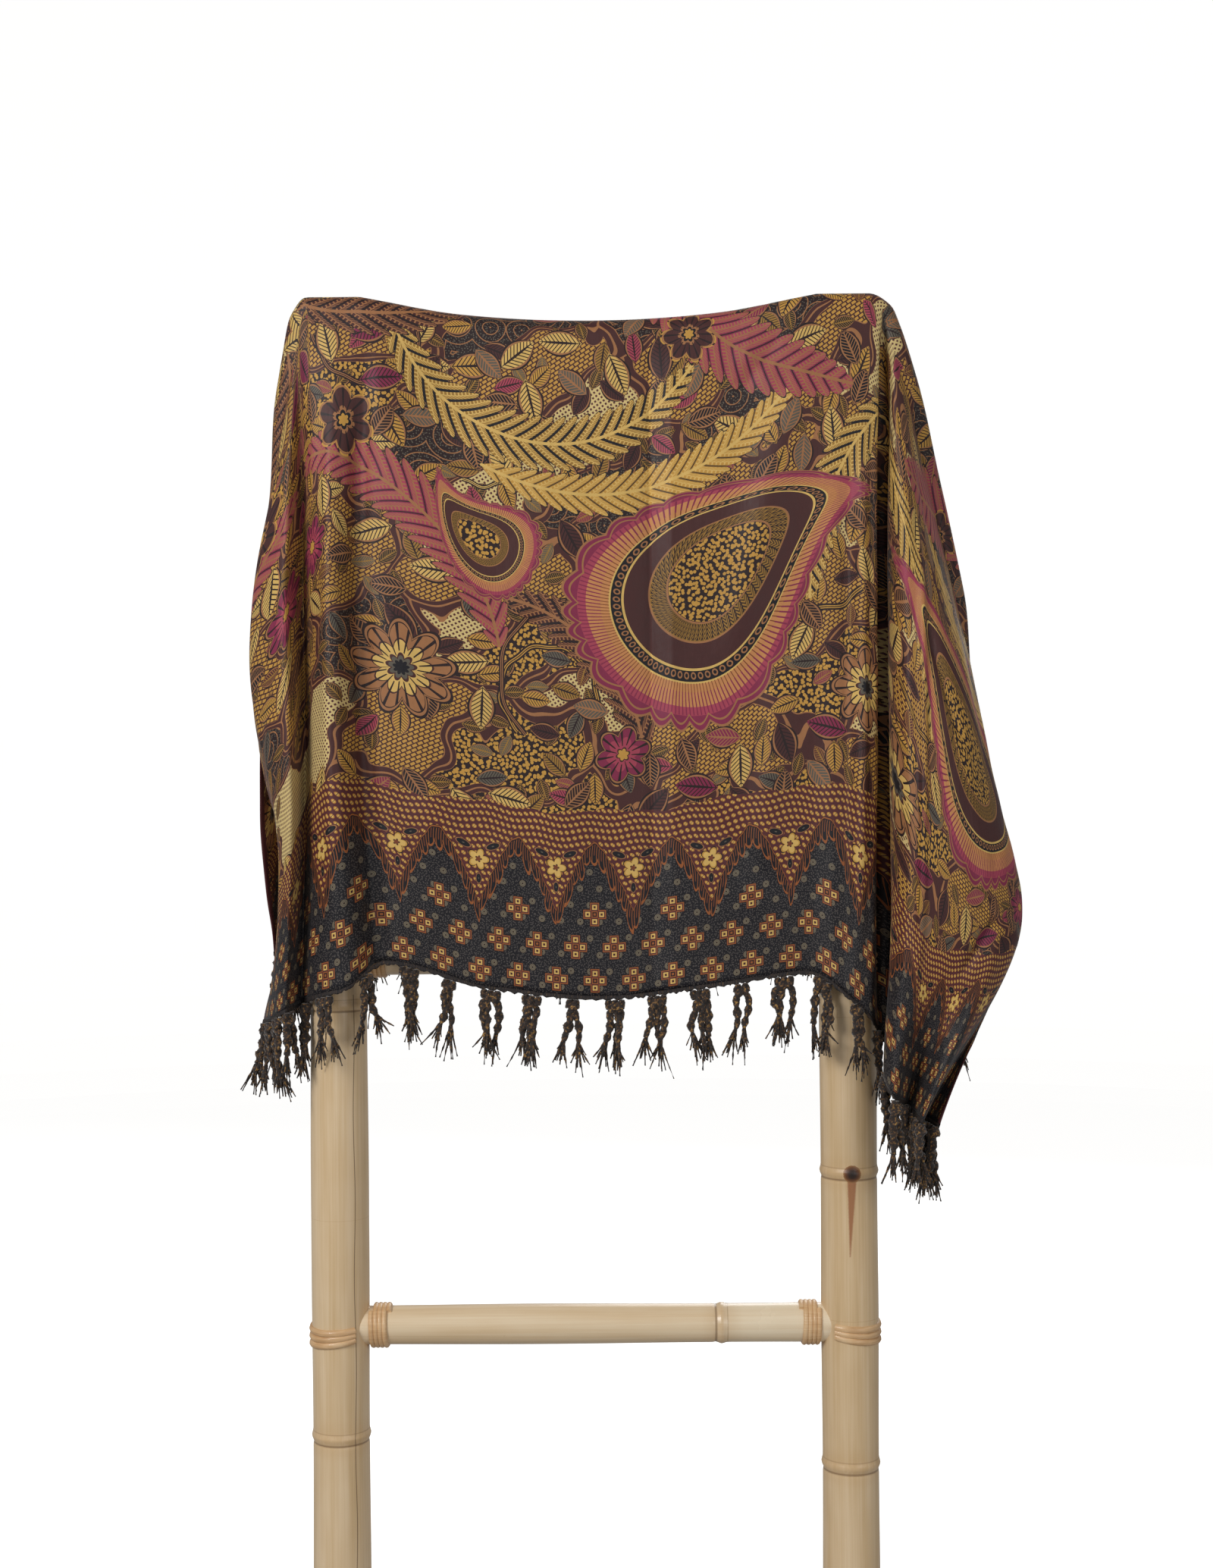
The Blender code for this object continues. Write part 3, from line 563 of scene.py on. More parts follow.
def strand_tree(name, material_name):
    """Sweep a lobed, twisted round along every path, as thick as the path's own value says."""
    tree = Tree(name, STRAND_SIZES)
    paths, radius, turns, lobe, sides, _ = tree.start
    curves = tree.node("GeometryNodeMeshToCurve", Mesh=paths)
    thick = tree.node("GeometryNodeInputNamedAttribute", {"data_type": "FLOAT"}, Name="thick")
    along = tree.tree.nodes.new("GeometryNodeSplineParameter")
    turned = tree.maths("MULTIPLY", tree.maths("MULTIPLY", along.outputs["Length"], turns), 2 * math.pi)
    curves = tree.node("GeometryNodeSetCurveTilt", Curve=curves, Tilt=turned)
    scaled = tree.maths("MULTIPLY", thick, radius)
    curves = tree.node("GeometryNodeSetCurveRadius", Curve=curves, Radius=scaled)
    ring = tree.node("GeometryNodeCurvePrimitiveCircle", {"mode": "RADIUS"}, Resolution=sides, Radius=1.0)
    wave = tree.maths("COSINE", tree.maths("MULTIPLY", along.outputs["Factor"], 4 * math.pi))
    swell = tree.maths("MULTIPLY_ADD", wave, lobe, 1.0)
    place = tree.node("GeometryNodeInputPosition")
    bulged = tree.node("ShaderNodeVectorMath", {"operation": "SCALE"}, i0=place, Scale=swell)
    ring = tree.node("GeometryNodeSetPosition", Geometry=ring, Position=bulged)
    swept = tree.node(
        "GeometryNodeCurveToMesh", Curve=curves, Profile_Curve=ring, Scale=scaled, Fill_Caps=True
    )
    return tree.end(swept, material_name)


def run_tree(name, paths_mesh, tree, **sizes):
    """Run a geometry node tree over a mesh of paths and return the plain mesh that it makes."""
    holder = link(name, paths_mesh)
    modifier = holder.modifiers.new("shape", "NODES")
    modifier.node_group = tree
    for item in tree.interface.items_tree:
        key = item.name.replace(" ", "_")
        if item.in_out == "INPUT" and key in sizes:
            modifier[item.identifier] = sizes[key]
    graph = bpy.context.evaluated_depsgraph_get()
    made = bpy.data.meshes.new_from_object(holder.evaluated_get(graph), depsgraph=graph)
    made.name = name
    bpy.data.objects.remove(holder)
    return made


LOCK_POINTS = 30
LOCK_SIDES = 9
LOBE_DEPTH = 0.26
LOCK_LEAVES_HEM = 0.006
LOCK_SWAY = 0.006
THREAD_POINTS = 6
THREAD_SPLAY = 0.20
THREAD_LENGTHS = (0.009, 0.021)
KNOT_SHARE = 0.16
KNOT_SPREAD = 0.006
LOOSE_THREAD = 0.13
LOOSE_THREAD_CHANCE = 0.45
THIRD_LOCK_CHANCE = 0.3
LOCK_SPACING = 1.7
ROOT_BELOW_HEM = 0.0035


def lock_path(root, down, side, length, chance):
    """Middle line of one twisted lock: out of the hem, then down with a lazy wave."""
    share = np.linspace(0.0, 1.0, LOCK_POINTS)[:, None]
    leave = LOCK_LEAVES_HEM * (1 - np.exp(-5 * share))
    sway = chance.uniform(-LOCK_SWAY, LOCK_SWAY, 2)
    wave = chance.uniform(0.0006, 0.0022)
    phase = chance.uniform(0, 2 * math.pi)
    bend = np.sin(share * chance.uniform(4.0, 9.0) + phase) - math.sin(phase)
    path = root + down * leave + np.array((0.0, 0.0, -1.0)) * (length * share - leave * 0.4)
    path = path + side * bend * wave
    path[:, :2] += sway * share**2
    return path


def add_fray(shape, path, count, chance):
    """Splayed single threads at the end of a lock."""
    tip = path[-3]
    way = path[-1] - path[-5]
    way /= np.linalg.norm(way)
    share = np.linspace(0.0, 1.0, THREAD_POINTS)[:, None]
    droop = np.array((0.0, 0.0, -0.5)) * share
    for _ in range(count):
        splay = chance.normal(0.0, THREAD_SPLAY, 3)
        length = chance.uniform(*THREAD_LENGTHS)
        thread = tip + length * share * (way + splay * (0.35 + share) + droop)
        shape.add_path(thread, thick=0.42 - 0.26 * share[:, 0])


def tassel_paths(front, settings, seed):
    """Paths of all the tassels of one hem: a knot, two or three locks, and frayed ends."""
    chance = np.random.default_rng(seed)
    shape = Shape()
    places = tassel_places()
    edge, downs, _ = hem_places(places, front)
    beside = hem_places(places + 0.002, front)[0]
    share = np.linspace(0.0, 1.0, LOCK_POINTS)
    gather = np.exp(-((share - KNOT_SHARE) ** 2) / KNOT_SPREAD)
    body = 1.0 - 0.35 * ease(share, 0.75, 1.0)
    for point, beyond, down in zip(edge, beside, downs):
        along = (beyond - point) / np.linalg.norm(beyond - point)
        length = settings.tassel_length * chance.uniform(0.78, 1.0)
        locks = 3 if chance.random() < THIRD_LOCK_CHANCE else 2
        root = point + down * ROOT_BELOW_HEM
        for lock in range(locks):
            offset = (lock - (locks - 1) / 2) * settings.strand_radius * LOCK_SPACING
            own = length * chance.uniform(0.82, 1.0)
            path = lock_path(root + along * offset, down, along, own, chance)
            path -= along * (offset * 0.55 * gather)[:, None]
            knot = 0.30 * gather + 0.12 * np.sin(share * chance.uniform(12, 20))
            shape.add_path(path, thick=body * (0.92 + knot) * chance.uniform(0.85, 1.1))
            add_fray(shape, path, settings.fray_count, chance)
        if chance.random() < LOOSE_THREAD_CHANCE:
            loose = lock_path(root + along * chance.uniform(-0.006, 0.006), down, along, length * 1.1, chance)
            loose[:, 0] += share**2 * chance.uniform(-0.012, 0.012)
            shape.add_path(loose, thick=LOOSE_THREAD)
    return shape.mesh("tassel_paths")


def hem_band_mesh(front):
    """The narrow band of bare warp below a hem, with an uneven lower edge."""
    columns = even_steps(LEFT_EDGE, [Run(run.end, run.count * 2) for run in COLUMN_RUNS])
    edge, down, out = hem_places(columns, front)
    raggedness = 0.7 + 0.3 * np.sin(columns * 900) * np.sin(columns * 330 + 1)
    rows = []
    for step, side in ((0, 1), (1, 1), (2, 1), (2, -1), (1, -1), (0, -1)):
        fall = FRINGE_BAND_TOP + (FRINGE_BAND * raggedness - FRINGE_BAND_TOP) * step / 2
        fall = fall - FRINGE_BAND_LAP * (step == 0)
        rows.append(edge + down * fall[:, None] + out * side * FRINGE_BAND_HALF_WALL)
    corner = np.arange(6 * len(columns)).reshape(6, -1)
    return new_mesh("hem_band", np.array(rows), faces_between(np.concatenate([corner, corner[:1]])))


Pole = namedtuple("Pole", "name start turn_to length radius nodes tones")
POLE_SIDES = 56
POLE_STEP = 0.007
NODE_SWELL = 0.0013
NODE_SPREAD = 0.0032
NODE_REACH = 0.014
NODE_RINGS = 15
NODE_GROOVE = 0.0006
GROOVE_SPREAD = 0.0019
GROOVE_BELOW = 0.0058
RIM = 0.010
RUNG_END_FROM_AXIS = 0.012
SCAR_RADIUS = 0.0075
POSTS = (
    ("post_left", -POST_X, LEFT_POST_NODES, (0.3, 0.4, 0.45, 0.5, 0.5, 0.4)),
    ("post_right", POST_X, RIGHT_POST_NODES, (0.38, 0.42, 0.32, 0.28, 0.36, 0.3)),
)
RUNG_TONES = (0.75, 1.05)


def ladder_poles():
    """The posts and rungs: where each starts, which way it runs, its nodes and its tone by stretch."""
    poles = []
    for name, x, nodes, tones in POSTS:
        heights = [node - POST_BASE for node in nodes]
        poles.append(Pole(name, (x, 0.0, POST_BASE), "up", POST_TOP - POST_BASE, POST_RADIUS, heights, tones))
    half = POST_X - RUNG_END_FROM_AXIS
    for index, (height, node) in enumerate(zip(RUNG_HEIGHTS, RUNG_NODES)):
        name = f"rung_{index + 1}"
        start = (-half, 0.0, height)
        poles.append(Pole(name, start, "right", 2 * half, RUNG_RADIUS, [node + half], RUNG_TONES))
    return poles


def pole_rings(pole, settings):
    """Distance along, radius and distance to the nearest node for each ring of a pole."""
    places = [np.arange(0.0, pole.length, POLE_STEP), [pole.length]]
    for node in pole.nodes:
        places.append(node + np.linspace(-NODE_REACH, NODE_REACH, NODE_RINGS))
    along = np.unique(np.concatenate(places))
    along = along[(along >= 0) & (along <= pole.length)]
    gaps = along[:, None] - np.array(pole.nodes)[None, :]
    ring = NODE_SWELL * settings.node_height * np.exp(-((gaps / NODE_SPREAD) ** 2))
    groove = NODE_GROOVE * np.exp(-(((gaps + GROOVE_BELOW) / GROOVE_SPREAD) ** 2))
    waist = -0.0004 * np.cos(np.abs(gaps).min(axis=1) * 18)
    radius = pole.radius + (ring - groove).sum(axis=1) + waist
    nearest = gaps[np.arange(len(along)), np.abs(gaps).argmin(axis=1)]
    if pole.turn_to == "up":
        into_rim = np.clip((along - (pole.length - RIM)) / RIM, 0.0, 1.0)
        radius -= RIM * (1 - np.sqrt(1 - into_rim**2))
    return along, radius, nearest


def pole_mesh(pole, settings, seed):
    """One bamboo pole as a closed mesh, with values along it for its finish."""
    along, radius, nearest = pole_rings(pole, settings)
    angle = np.arange(POLE_SIDES) / POLE_SIDES * 2 * math.pi
    oval = 1 + 0.006 * np.cos(2 * angle + seed) + 0.003 * np.cos(3 * angle + 2 * seed)
    reach = radius[:, None] * oval
    if pole.name == "post_right":
        off_scar = ((angle - math.pi * 1.5) * POST_RADIUS) ** 2 + (along[:, None] - pole.nodes[2]) ** 2
        reach = reach + settings.knot_height * np.exp(-off_scar / SCAR_RADIUS**2)
    heights = np.broadcast_to(along[:, None], reach.shape)
    rings = np.stack([reach * np.cos(angle), reach * np.sin(angle), heights], axis=-1)
    ends = [(0.0, 0.0, along[0]), (0.0, 0.0, along[-1])]
    points = np.concatenate([rings.reshape(-1, 3), ends])
    corner = np.arange(reach.size).reshape(reach.shape)
    corner = np.concatenate([corner, corner[:, :1]], axis=1)
    faces = faces_between(corner).tolist()
    faces += [(reach.size, right, left) for left, right in zip(corner[0], corner[0, 1:])]
    faces += [(reach.size + 1, left, right) for left, right in zip(corner[-1], corner[-1, 1:])]
    placed = points if pole.turn_to == "up" else points[:, [2, 1, 0]] * (1, 1, -1)
    mesh = bpy.data.meshes.new(pole.name)
    mesh.from_pydata((placed + pole.start).tolist(), [], faces)
    own = points + (0, 0, 3.1 * seed)
    mesh.attributes.new("pole_place", "FLOAT_VECTOR", "POINT").data.foreach_set("vector", own.ravel())
    stretch = np.searchsorted(pole.nodes, along - 0.001)
    tone = np.array(pole.tones)[np.minimum(stretch, len(pole.tones) - 1)]
    for label, values in (("from_node", nearest), ("tone", tone)):
        whole = np.concatenate([np.repeat(values, POLE_SIDES), [values[0], values[-1]]])
        mesh.attributes.new(label, "FLOAT", "POINT").data.foreach_set("value", whole)
    return mesh


COLLAR_LENGTH = 0.0220
COLLAR_START = 0.0276
RATTAN_RADIUS = 0.0026
BAND_STRAND_RADIUS = 0.0037
BAND_PITCH = 0.0072
BAND_DROP = 0.008
BAND_SWEEP = math.radians(252)
STRAND_SIDES = 10


def collar_paths(side, height, settings):
    """One strand of rattan wound in a tight screw round a rung beside a post."""
    turns = settings.collar_turns
    angle = np.linspace(0, 2 * math.pi * turns, turns * 30 + 1)
    pitch = COLLAR_LENGTH / turns
    start = POST_X - COLLAR_START
    x = side * (start - pitch / 2 - angle / (2 * math.pi) * pitch * (turns - 1) / turns)
    reach = RUNG_RADIUS + settings.rattan_proud - RATTAN_RADIUS
    return [np.stack([x, reach * np.cos(angle + 2.2), height + reach * np.sin(angle + 2.2)], axis=1)]


def band_paths(side, height, settings):
    """Strands of rattan round a post at a rung, hanging a little at their middle."""
    paths = []
    reach = POST_RADIUS + settings.rattan_proud - BAND_STRAND_RADIUS
    angle = np.linspace(-BAND_SWEEP / 2, BAND_SWEEP / 2, 41)
    x = side * (POST_X + reach * np.cos(angle))
    for strand in range(settings.band_turns):
        beside = (strand - (settings.band_turns - 1) / 2) * BAND_PITCH
        lift = 0.006 * (1 - np.cos(angle)) / 2 + 0.0014 * strand * np.sin(angle)
        pinch = beside * -0.25 * (np.abs(angle) / (BAND_SWEEP / 2)) ** 3
        z = height - BAND_DROP + beside + lift + pinch
        paths.append(np.stack([x, reach * np.sin(angle), z], axis=1))
    return paths


def tint(code):
    """Linear colour from a six-digit screen colour."""
    parts = [int(code[i : i + 2], 16) / 255 for i in (1, 3, 5)]
    linear = [p / 12.92 if p <= 0.04045 else ((p + 0.055) / 1.055) ** 2.4 for p in parts]
    return (*linear, 1.0)


def maths(operation, swapped=False):
    """A method that adds one Math node on its value and any others."""

    def add_node(self, *others):
        terms = (*others, self) if swapped else (self, *others)
        return self.paint.node("ShaderNodeMath", {"operation": operation}, *terms)

    return add_node


class Number:
    """A shader socket that Python arithmetic can use. Each operator adds one Math node."""

    def __init__(self, paint, socket):
        self.paint = paint
        self.socket = socket

    __add__ = __radd__ = maths("ADD")
    __sub__ = maths("SUBTRACT")
    __rsub__ = maths("SUBTRACT", swapped=True)
    __mul__ = __rmul__ = maths("MULTIPLY")
    __truediv__ = maths("DIVIDE")
    __pow__ = maths("POWER")
    __lt__ = maths("LESS_THAN")
    __gt__ = maths("GREATER_THAN")
    __abs__ = maths("ABSOLUTE")
    sine = maths("SINE")
    cosine = maths("COSINE")
    bearing = maths("ARCTAN2")
    fraction = maths("FRACT")
    floor = maths("FLOOR")
    root = maths("SQRT")
    least = maths("MINIMUM")
    most = maths("MAXIMUM")
    back_and_forth = maths("PINGPONG")

    def within(self, low, high):
        """1 between two values and 0 elsewhere."""
        return (self > low) * (self < high)

    def above_zero(self):
        """The value, or 0 where it is negative."""
        return self.most(0.0)


class Paint:
    """The node tree of one finish, built by small methods that each add a node or two."""

    def __init__(self, name):
        self.material = bpy.data.materials.new(name)
        self.material.use_nodes = True
        self.tree = self.material.node_tree
        self.shader = self.tree.nodes["Principled BSDF"]

    def feed(self, socket, value):
        """Link a value or set it as the socket's own."""
        if isinstance(value, Number):
            self.tree.links.new(value.socket, socket)
        elif value is not None:
            socket.default_value = value

    def node(self, kind, settings=None, *values, out=0, **named):
        """Add a node: its settings first, then its sockets by place or by name."""
        made = self.tree.nodes.new(kind)
        for key, value in (settings or {}).items():
            if key == "stops":
                self.set_stops(made.color_ramp, value)
            elif key == "ramp":
                made.color_ramp.interpolation = value
            else:
                setattr(made, key, value)
        for place, value in enumerate(values):
            self.feed(made.inputs[place], value)
        for name, value in named.items():
            self.feed(made.inputs[name.replace("_", " ")], value)
        return Number(self, made.outputs[out])

    def set_stops(self, ramp, stops):
        """Write the stops of a colour ramp."""
        while len(ramp.elements) > 1:
            ramp.elements.remove(ramp.elements[-1])
        ramp.elements[0].position, ramp.elements[0].color = stops[0]
        for position, color in stops[1:]:
            ramp.elements.new(position).color = color

    def steps(self, value, *stops):
        """Flat bands of colour by value."""
        return self.node("ShaderNodeValToRGB", {"ramp": "CONSTANT", "stops": stops}, value)

    def blend_stops(self, value, *stops):
        """Colours that run into each other by value."""
        return self.node("ShaderNodeValToRGB", {"ramp": "LINEAR", "stops": stops}, value)

    def mix(self, share, first, second):
        """Second colour over the first by a share from 0 to 1."""
        made = self.tree.nodes.new("ShaderNodeMix")
        made.data_type = "RGBA"
        self.feed(made.inputs[0], share)
        self.feed(made.inputs[6], first)
        self.feed(made.inputs[7], second)
        return Number(self, made.outputs[2])

    def split(self, vector):
        """The x, y and z of a vector."""
        made = self.tree.nodes.new("ShaderNodeSeparateXYZ")
        self.feed(made.inputs[0], vector)
        return [Number(self, socket) for socket in made.outputs]

    def join(self, x=0.0, y=0.0, z=0.0):
        """A vector from three values."""
        return self.node("ShaderNodeCombineXYZ", None, x, y, z)

    def vectors(self, operation, *values, **named):
        """One Vector Math node."""
        return self.node("ShaderNodeVectorMath", {"operation": operation}, *values, **named)

    def move(self, vector, place=(0, 0, 0), degrees=0.0, size=(1, 1, 1)):
        """The vector as seen from a place, turned and sized."""
        turn = (0, 0, math.radians(degrees))
        return self.node(
            "ShaderNodeMapping", {"vector_type": "TEXTURE"}, vector, Location=place, Rotation=turn, Scale=size
        )

    def local(self, place, centre=(0, 0), degrees=0.0, size=1.0):
        """The x and y of a place on the cloth as seen from a motif's centre, turned and sized."""
        return self.split(self.move(place, (*centre, 0), degrees, (size, size, size)))[:2]

    def polar(self, x, y):
        """Distance and angle of a point."""
        return (x * x + y * y).root(), y.bearing(x)

    def noise(self, vector, scale, detail=2.0, roughness=0.5):
        """Soft noise from 0 to 1."""
        return self.node(
            "ShaderNodeTexNoise", None, Vector=vector, Scale=scale, Detail=detail, Roughness=roughness
        )

    def fibres(self, place, size, detail=2.0, roughness=0.5):
        """Soft noise drawn out by different lengths along x, y and z, in metres."""
        return self.noise(self.move(place, size=size), 1.0, detail, roughness)

    def cells(self, place, scale, feature="F1", out=0):
        """Scattered cells: distance from the middle or the edge as output 0, or a colour as output 1."""
        settings = {"voronoi_dimensions": "2D", "feature": feature}
        return self.node("ShaderNodeTexVoronoi", settings, Vector=place, Scale=scale, out=out)

    def object_place(self):
        """Where a point is on the object."""
        return self.node("ShaderNodeTexCoord", out=3)

    def attribute(self, name, out=2):
        """A value of the mesh by name: output 2 for a number, output 1 for a vector."""
        return self.node("ShaderNodeAttribute", {"attribute_name": name}, out=out)

    def finish(self, colour, roughness, height=None, bump=0.0, bump_distance=0.0004, **fixed):
        """Feed the shader: what varies by links, what is the same all over on its own sockets."""
        self.feed(self.shader.inputs["Base Color"], colour)
        self.feed(self.shader.inputs["Roughness"], roughness)
        if height is not None:
            relief = self.node("ShaderNodeBump", None, Strength=bump, Distance=bump_distance, Height=height)
            self.feed(self.shader.inputs["Normal"], relief)
        for name, value in fixed.items():
            self.shader.inputs[name.replace("_", " ")].default_value = value
        return self.material


GOLD = tint("#C79C46")
PALE_GOLD = tint("#DBBC6A")
OLD_GOLD = tint("#A07C36")
CREAM = tint("#D6C585")
CHOCOLATE = tint("#492725")
DARK_BROWN = tint("#261617")
MAROON = tint("#57292C")
NAVY = tint("#131219")
SLATE = tint("#5F5C50")
RING_GREY = tint("#78715C")
SPECK_GREY = tint("#4E4C4A")
WINE = tint("#862A4C")
PINK = tint("#A9455A")
PEACH = tint("#C98F58")
TAN = tint("#A3744A")
ORANGE = tint("#9A5C2E")
RUST = tint("#7C4426")

UV_SPAN = 1.25
MIRROR_LEFT = 17.0
MIRROR_WIDTH = 61.0
RIDGE_LENGTH = FRONT_DROP * 100
BORDER_TOP = 17.0
PRESSED_FOLD = (0.0575 - LEFT_EDGE) * 100
LEAFLET_SLANT = 2.3
TEARDROP_BANDS = (
    (0.0, DARK_BROWN),
    (0.360, TAN),
    (0.375, OLD_GOLD),
    (0.485, TAN),
    (0.500, CHOCOLATE),
    (0.655, PALE_GOLD),
    (0.668, NAVY),
    (0.735, PALE_GOLD),
    (0.748, PEACH),
    (0.885, PINK),
    (0.935, WINE),
)


def grains(paint, place, cell, ground, grain, share):
    """A small grain in the middle of every scattered cell."""
    return paint.mix(paint.cells(place, 1 / cell) < share, ground, grain)


def bricks(paint, x, y, cell, joint, strip):
    """Small bricks in staggered rows, as hatching of gold strips on a dark ground."""
    row = (y / cell).floor()
    across = (x / (cell * 1.7) + row * 0.5).fraction()
    up = (y / cell).fraction()
    inside = (abs(across - 0.5) < 0.38) * (abs(up - 0.5) < 0.34)
    return paint.mix(inside, joint, strip)


def hatch(paint, x, y, cell, ground, line):
    """Two sets of thin crossing lines."""
    first = abs((x / cell).fraction() - 0.5) < 0.24
    second = abs((y / cell).fraction() - 0.5) < 0.24
    return paint.mix(first.most(second), ground, line)


def scrolls(paint, place, cell, ground, line):
    """Scrolls on a dotted ground: rings round scattered middles, cut by their neighbours."""
    ring = (paint.cells(place, 1 / cell) * 4.6).fraction()
    dotted = grains(paint, place, 0.24, ground, SLATE, 0.24)
    return paint.mix(ring < 0.13, dotted, line)


def frond(paint, place, under, centre, radius, middle, half, width, barbs, colours):
    """A feather along an arc: pointed leaflets slanting off a rib, each hatched with fine veins."""
    away, angle = paint.polar(*paint.local(place, centre, middle))
    half_turn = math.radians(half)
    share = angle / half_turn
    off = abs(away - radius)
    leaflet = (angle * (barbs / (2 * half_turn)) - off * (LEAFLET_SLANT / width)).fraction()
    from_vein = abs(leaflet - 0.5) * 2
    body = (1 - share * share).above_zero() ** 0.55
    reach = off / (body * (1 - from_vein * from_vein * 0.36) * width + 0.001)
    veins = (off * 4.6 - from_vein * 1.3).fraction() < 0.36
    dark, light, shine, edge = colours
    fill = paint.steps(from_vein, (0.0, shine), (0.09, light), (0.72, dark), (0.90, edge))
    fill = paint.mix(veins * (from_vein < 0.72), fill, shine)
    fill = paint.mix(off < 0.13, fill, shine)
    fill = paint.mix(reach > 0.955, fill, edge)
    return paint.mix(reach < 1.0, under, fill)


def teardrop(paint, place, under, centre, degrees, size, curl, inside):
    """A curling teardrop in nested bands: filled heart, leafy ring, plain crescent, dots, scalloped rim."""
    x, y = paint.local(place, centre, degrees, size)
    lift = (y + 0.35).above_zero()
    bent = x - lift * lift * lift * curl
    narrow = bent / (0.64 - y * 0.46)
    reach = (narrow * narrow + y * y).root()
    angle = narrow.bearing(y + 0.25)
    uneven = (angle * 5).sine()
    scallop = abs((angle * 13 + uneven * 1.1).sine())
    bands = paint.steps(reach, *TEARDROP_BANDS)
    leaf = (angle * 9 - reach * 14).fraction()
    leaf_vein = (reach * 34 + abs(leaf - 0.5) * 3).fraction()
    leafy = paint.mix((leaf_vein < 0.42).most(abs(leaf - 0.5) > 0.42), bands, DARK_BROWN)
    colour = paint.mix(reach.within(0.375, 0.485), bands, leafy)
    dot_x = ((angle * 10).fraction() - 0.5) * 1.2
    dot_y = (reach - 0.7015) / 0.052
    dot = dot_x * dot_x + dot_y * dot_y
    colour = paint.mix(dot.within(0.06, 0.20), colour, TAN)
    ray = (angle * 26 + uneven * 0.3).fraction()
    colour = paint.mix(reach.within(0.80, 0.935) * (ray < 0.30), colour, WINE)
    colour = paint.mix(reach.within(0.748, 0.80) * (ray < 0.22), colour, RUST)
    colour = paint.mix(reach < 0.36, colour, inside)
    rim = reach - scallop * 0.055
    colour = paint.mix((rim > 0.965).most(rim.within(0.925, 0.937)), colour, TAN)
    return paint.mix(rim < 0.98, under, colour)


def blossom(paint, place, under, centre, degrees, size, petals, bands):
    """A round flower with notched petals, veins and a ring of stamens."""
    away, angle = paint.polar(*paint.local(place, centre, degrees, size))
    lobe = abs((angle * (petals / 2)).cosine())
    reach = away / (lobe * 0.34 + 0.66)
    colour = paint.steps(reach, *bands)
    veins = ((angle * (petals * 2.5)).sine() > 0.72) * (reach > 0.34)
    colour = paint.mix(veins, colour, DARK_BROWN)
    colour = paint.mix(reach.within(0.93, 0.99), colour, TAN)
    return paint.mix(reach < 1.05, under, colour)


def sprigs(paint, place, under, cell, shift, tones, presence, line):
    """One small veined leaf in each square of a grid, turned and toned at random."""
    moved = paint.move(place, (*shift, 0), 17.0, (cell, cell, cell))
    square = paint.vectors("FLOOR", moved)
    chance = paint.node("ShaderNodeTexWhiteNoise", {"noise_dimensions": "2D"}, square, out=1)
    turn, tone, keep = paint.split(chance)
    middle = paint.vectors("SUBTRACT", paint.vectors("FRACTION", moved), (0.5, 0.5, 0.0))
    turned = paint.node(
        "ShaderNodeVectorRotate", {"rotation_type": "Z_AXIS"}, Vector=middle, Angle=turn * 6.283
    )
    x, y, _ = paint.split(turned)
    across = abs(x) / ((0.2304 - y * y).above_zero() * 1.15 + 0.0001)
    vein = (y * 11 - abs(x) * 9).fraction()
    colour = paint.steps(tone, *tones)
    colour = paint.mix((vein < 0.3).most(across < 0.10), colour, line)
    colour = paint.mix(across > 0.80, colour, TAN)
    colour = paint.mix(across > 0.95, colour, DARK_BROWN)
    return paint.mix((across < 1.12) * (keep < presence), under, colour)


def stem(paint, place, under, centre, radius, middle, half, thick, colour):
    """A thin curling stem along an arc, edged with dark."""
    away, angle = paint.polar(*paint.local(place, centre, middle))
    off = abs(away - radius - (angle * 9).sine() * 0.12)
    in_reach = abs(angle) < math.radians(half)
    under = paint.mix((off < thick * 2.3) * in_reach, under, DARK_BROWN)
    under = paint.mix((off < thick) * in_reach, under, colour)
    return paint.mix((off < thick * 0.35) * in_reach, under, DARK_BROWN)


def field_ground(paint, place):
    """Patchwork of small fills under the large motifs. Returns its colour and the grain fill."""
    wander = paint.node(
        "ShaderNodeTexNoise", {"noise_dimensions": "2D"}, Vector=place, Scale=0.16, Detail=1.0, out=1
    )
    pushed = paint.vectors("MULTIPLY_ADD", wander, (7.0, 7.0, 0.0), place)
    slanted = paint.move(pushed, (0, 0, 0), 31.0, (13.0, 6.4, 1.0))
    kind = paint.split(paint.cells(slanted, 1.0, out=1))[0]
    edge = paint.cells(slanted, 1.0, "DISTANCE_TO_EDGE")
    turned = paint.local(place, degrees=33.0)
    seeds = grains(paint, place, 0.37, DARK_BROWN, GOLD, 0.42)
    colour = paint.mix(kind > 0.30, seeds, bricks(paint, *turned, 0.34, CHOCOLATE, GOLD))
    colour = paint.mix(kind > 0.62, colour, scrolls(paint, place, 3.2, DARK_BROWN, TAN))
    colour = paint.mix(kind > 0.85, colour, hatch(paint, *turned, 0.36, MAROON, CREAM))
    rim = paint.steps(edge, (0.0, TAN), (0.008, CHOCOLATE), (0.064, TAN), (0.073, CHOCOLATE))
    return paint.mix(edge < 0.073, colour, rim), seeds


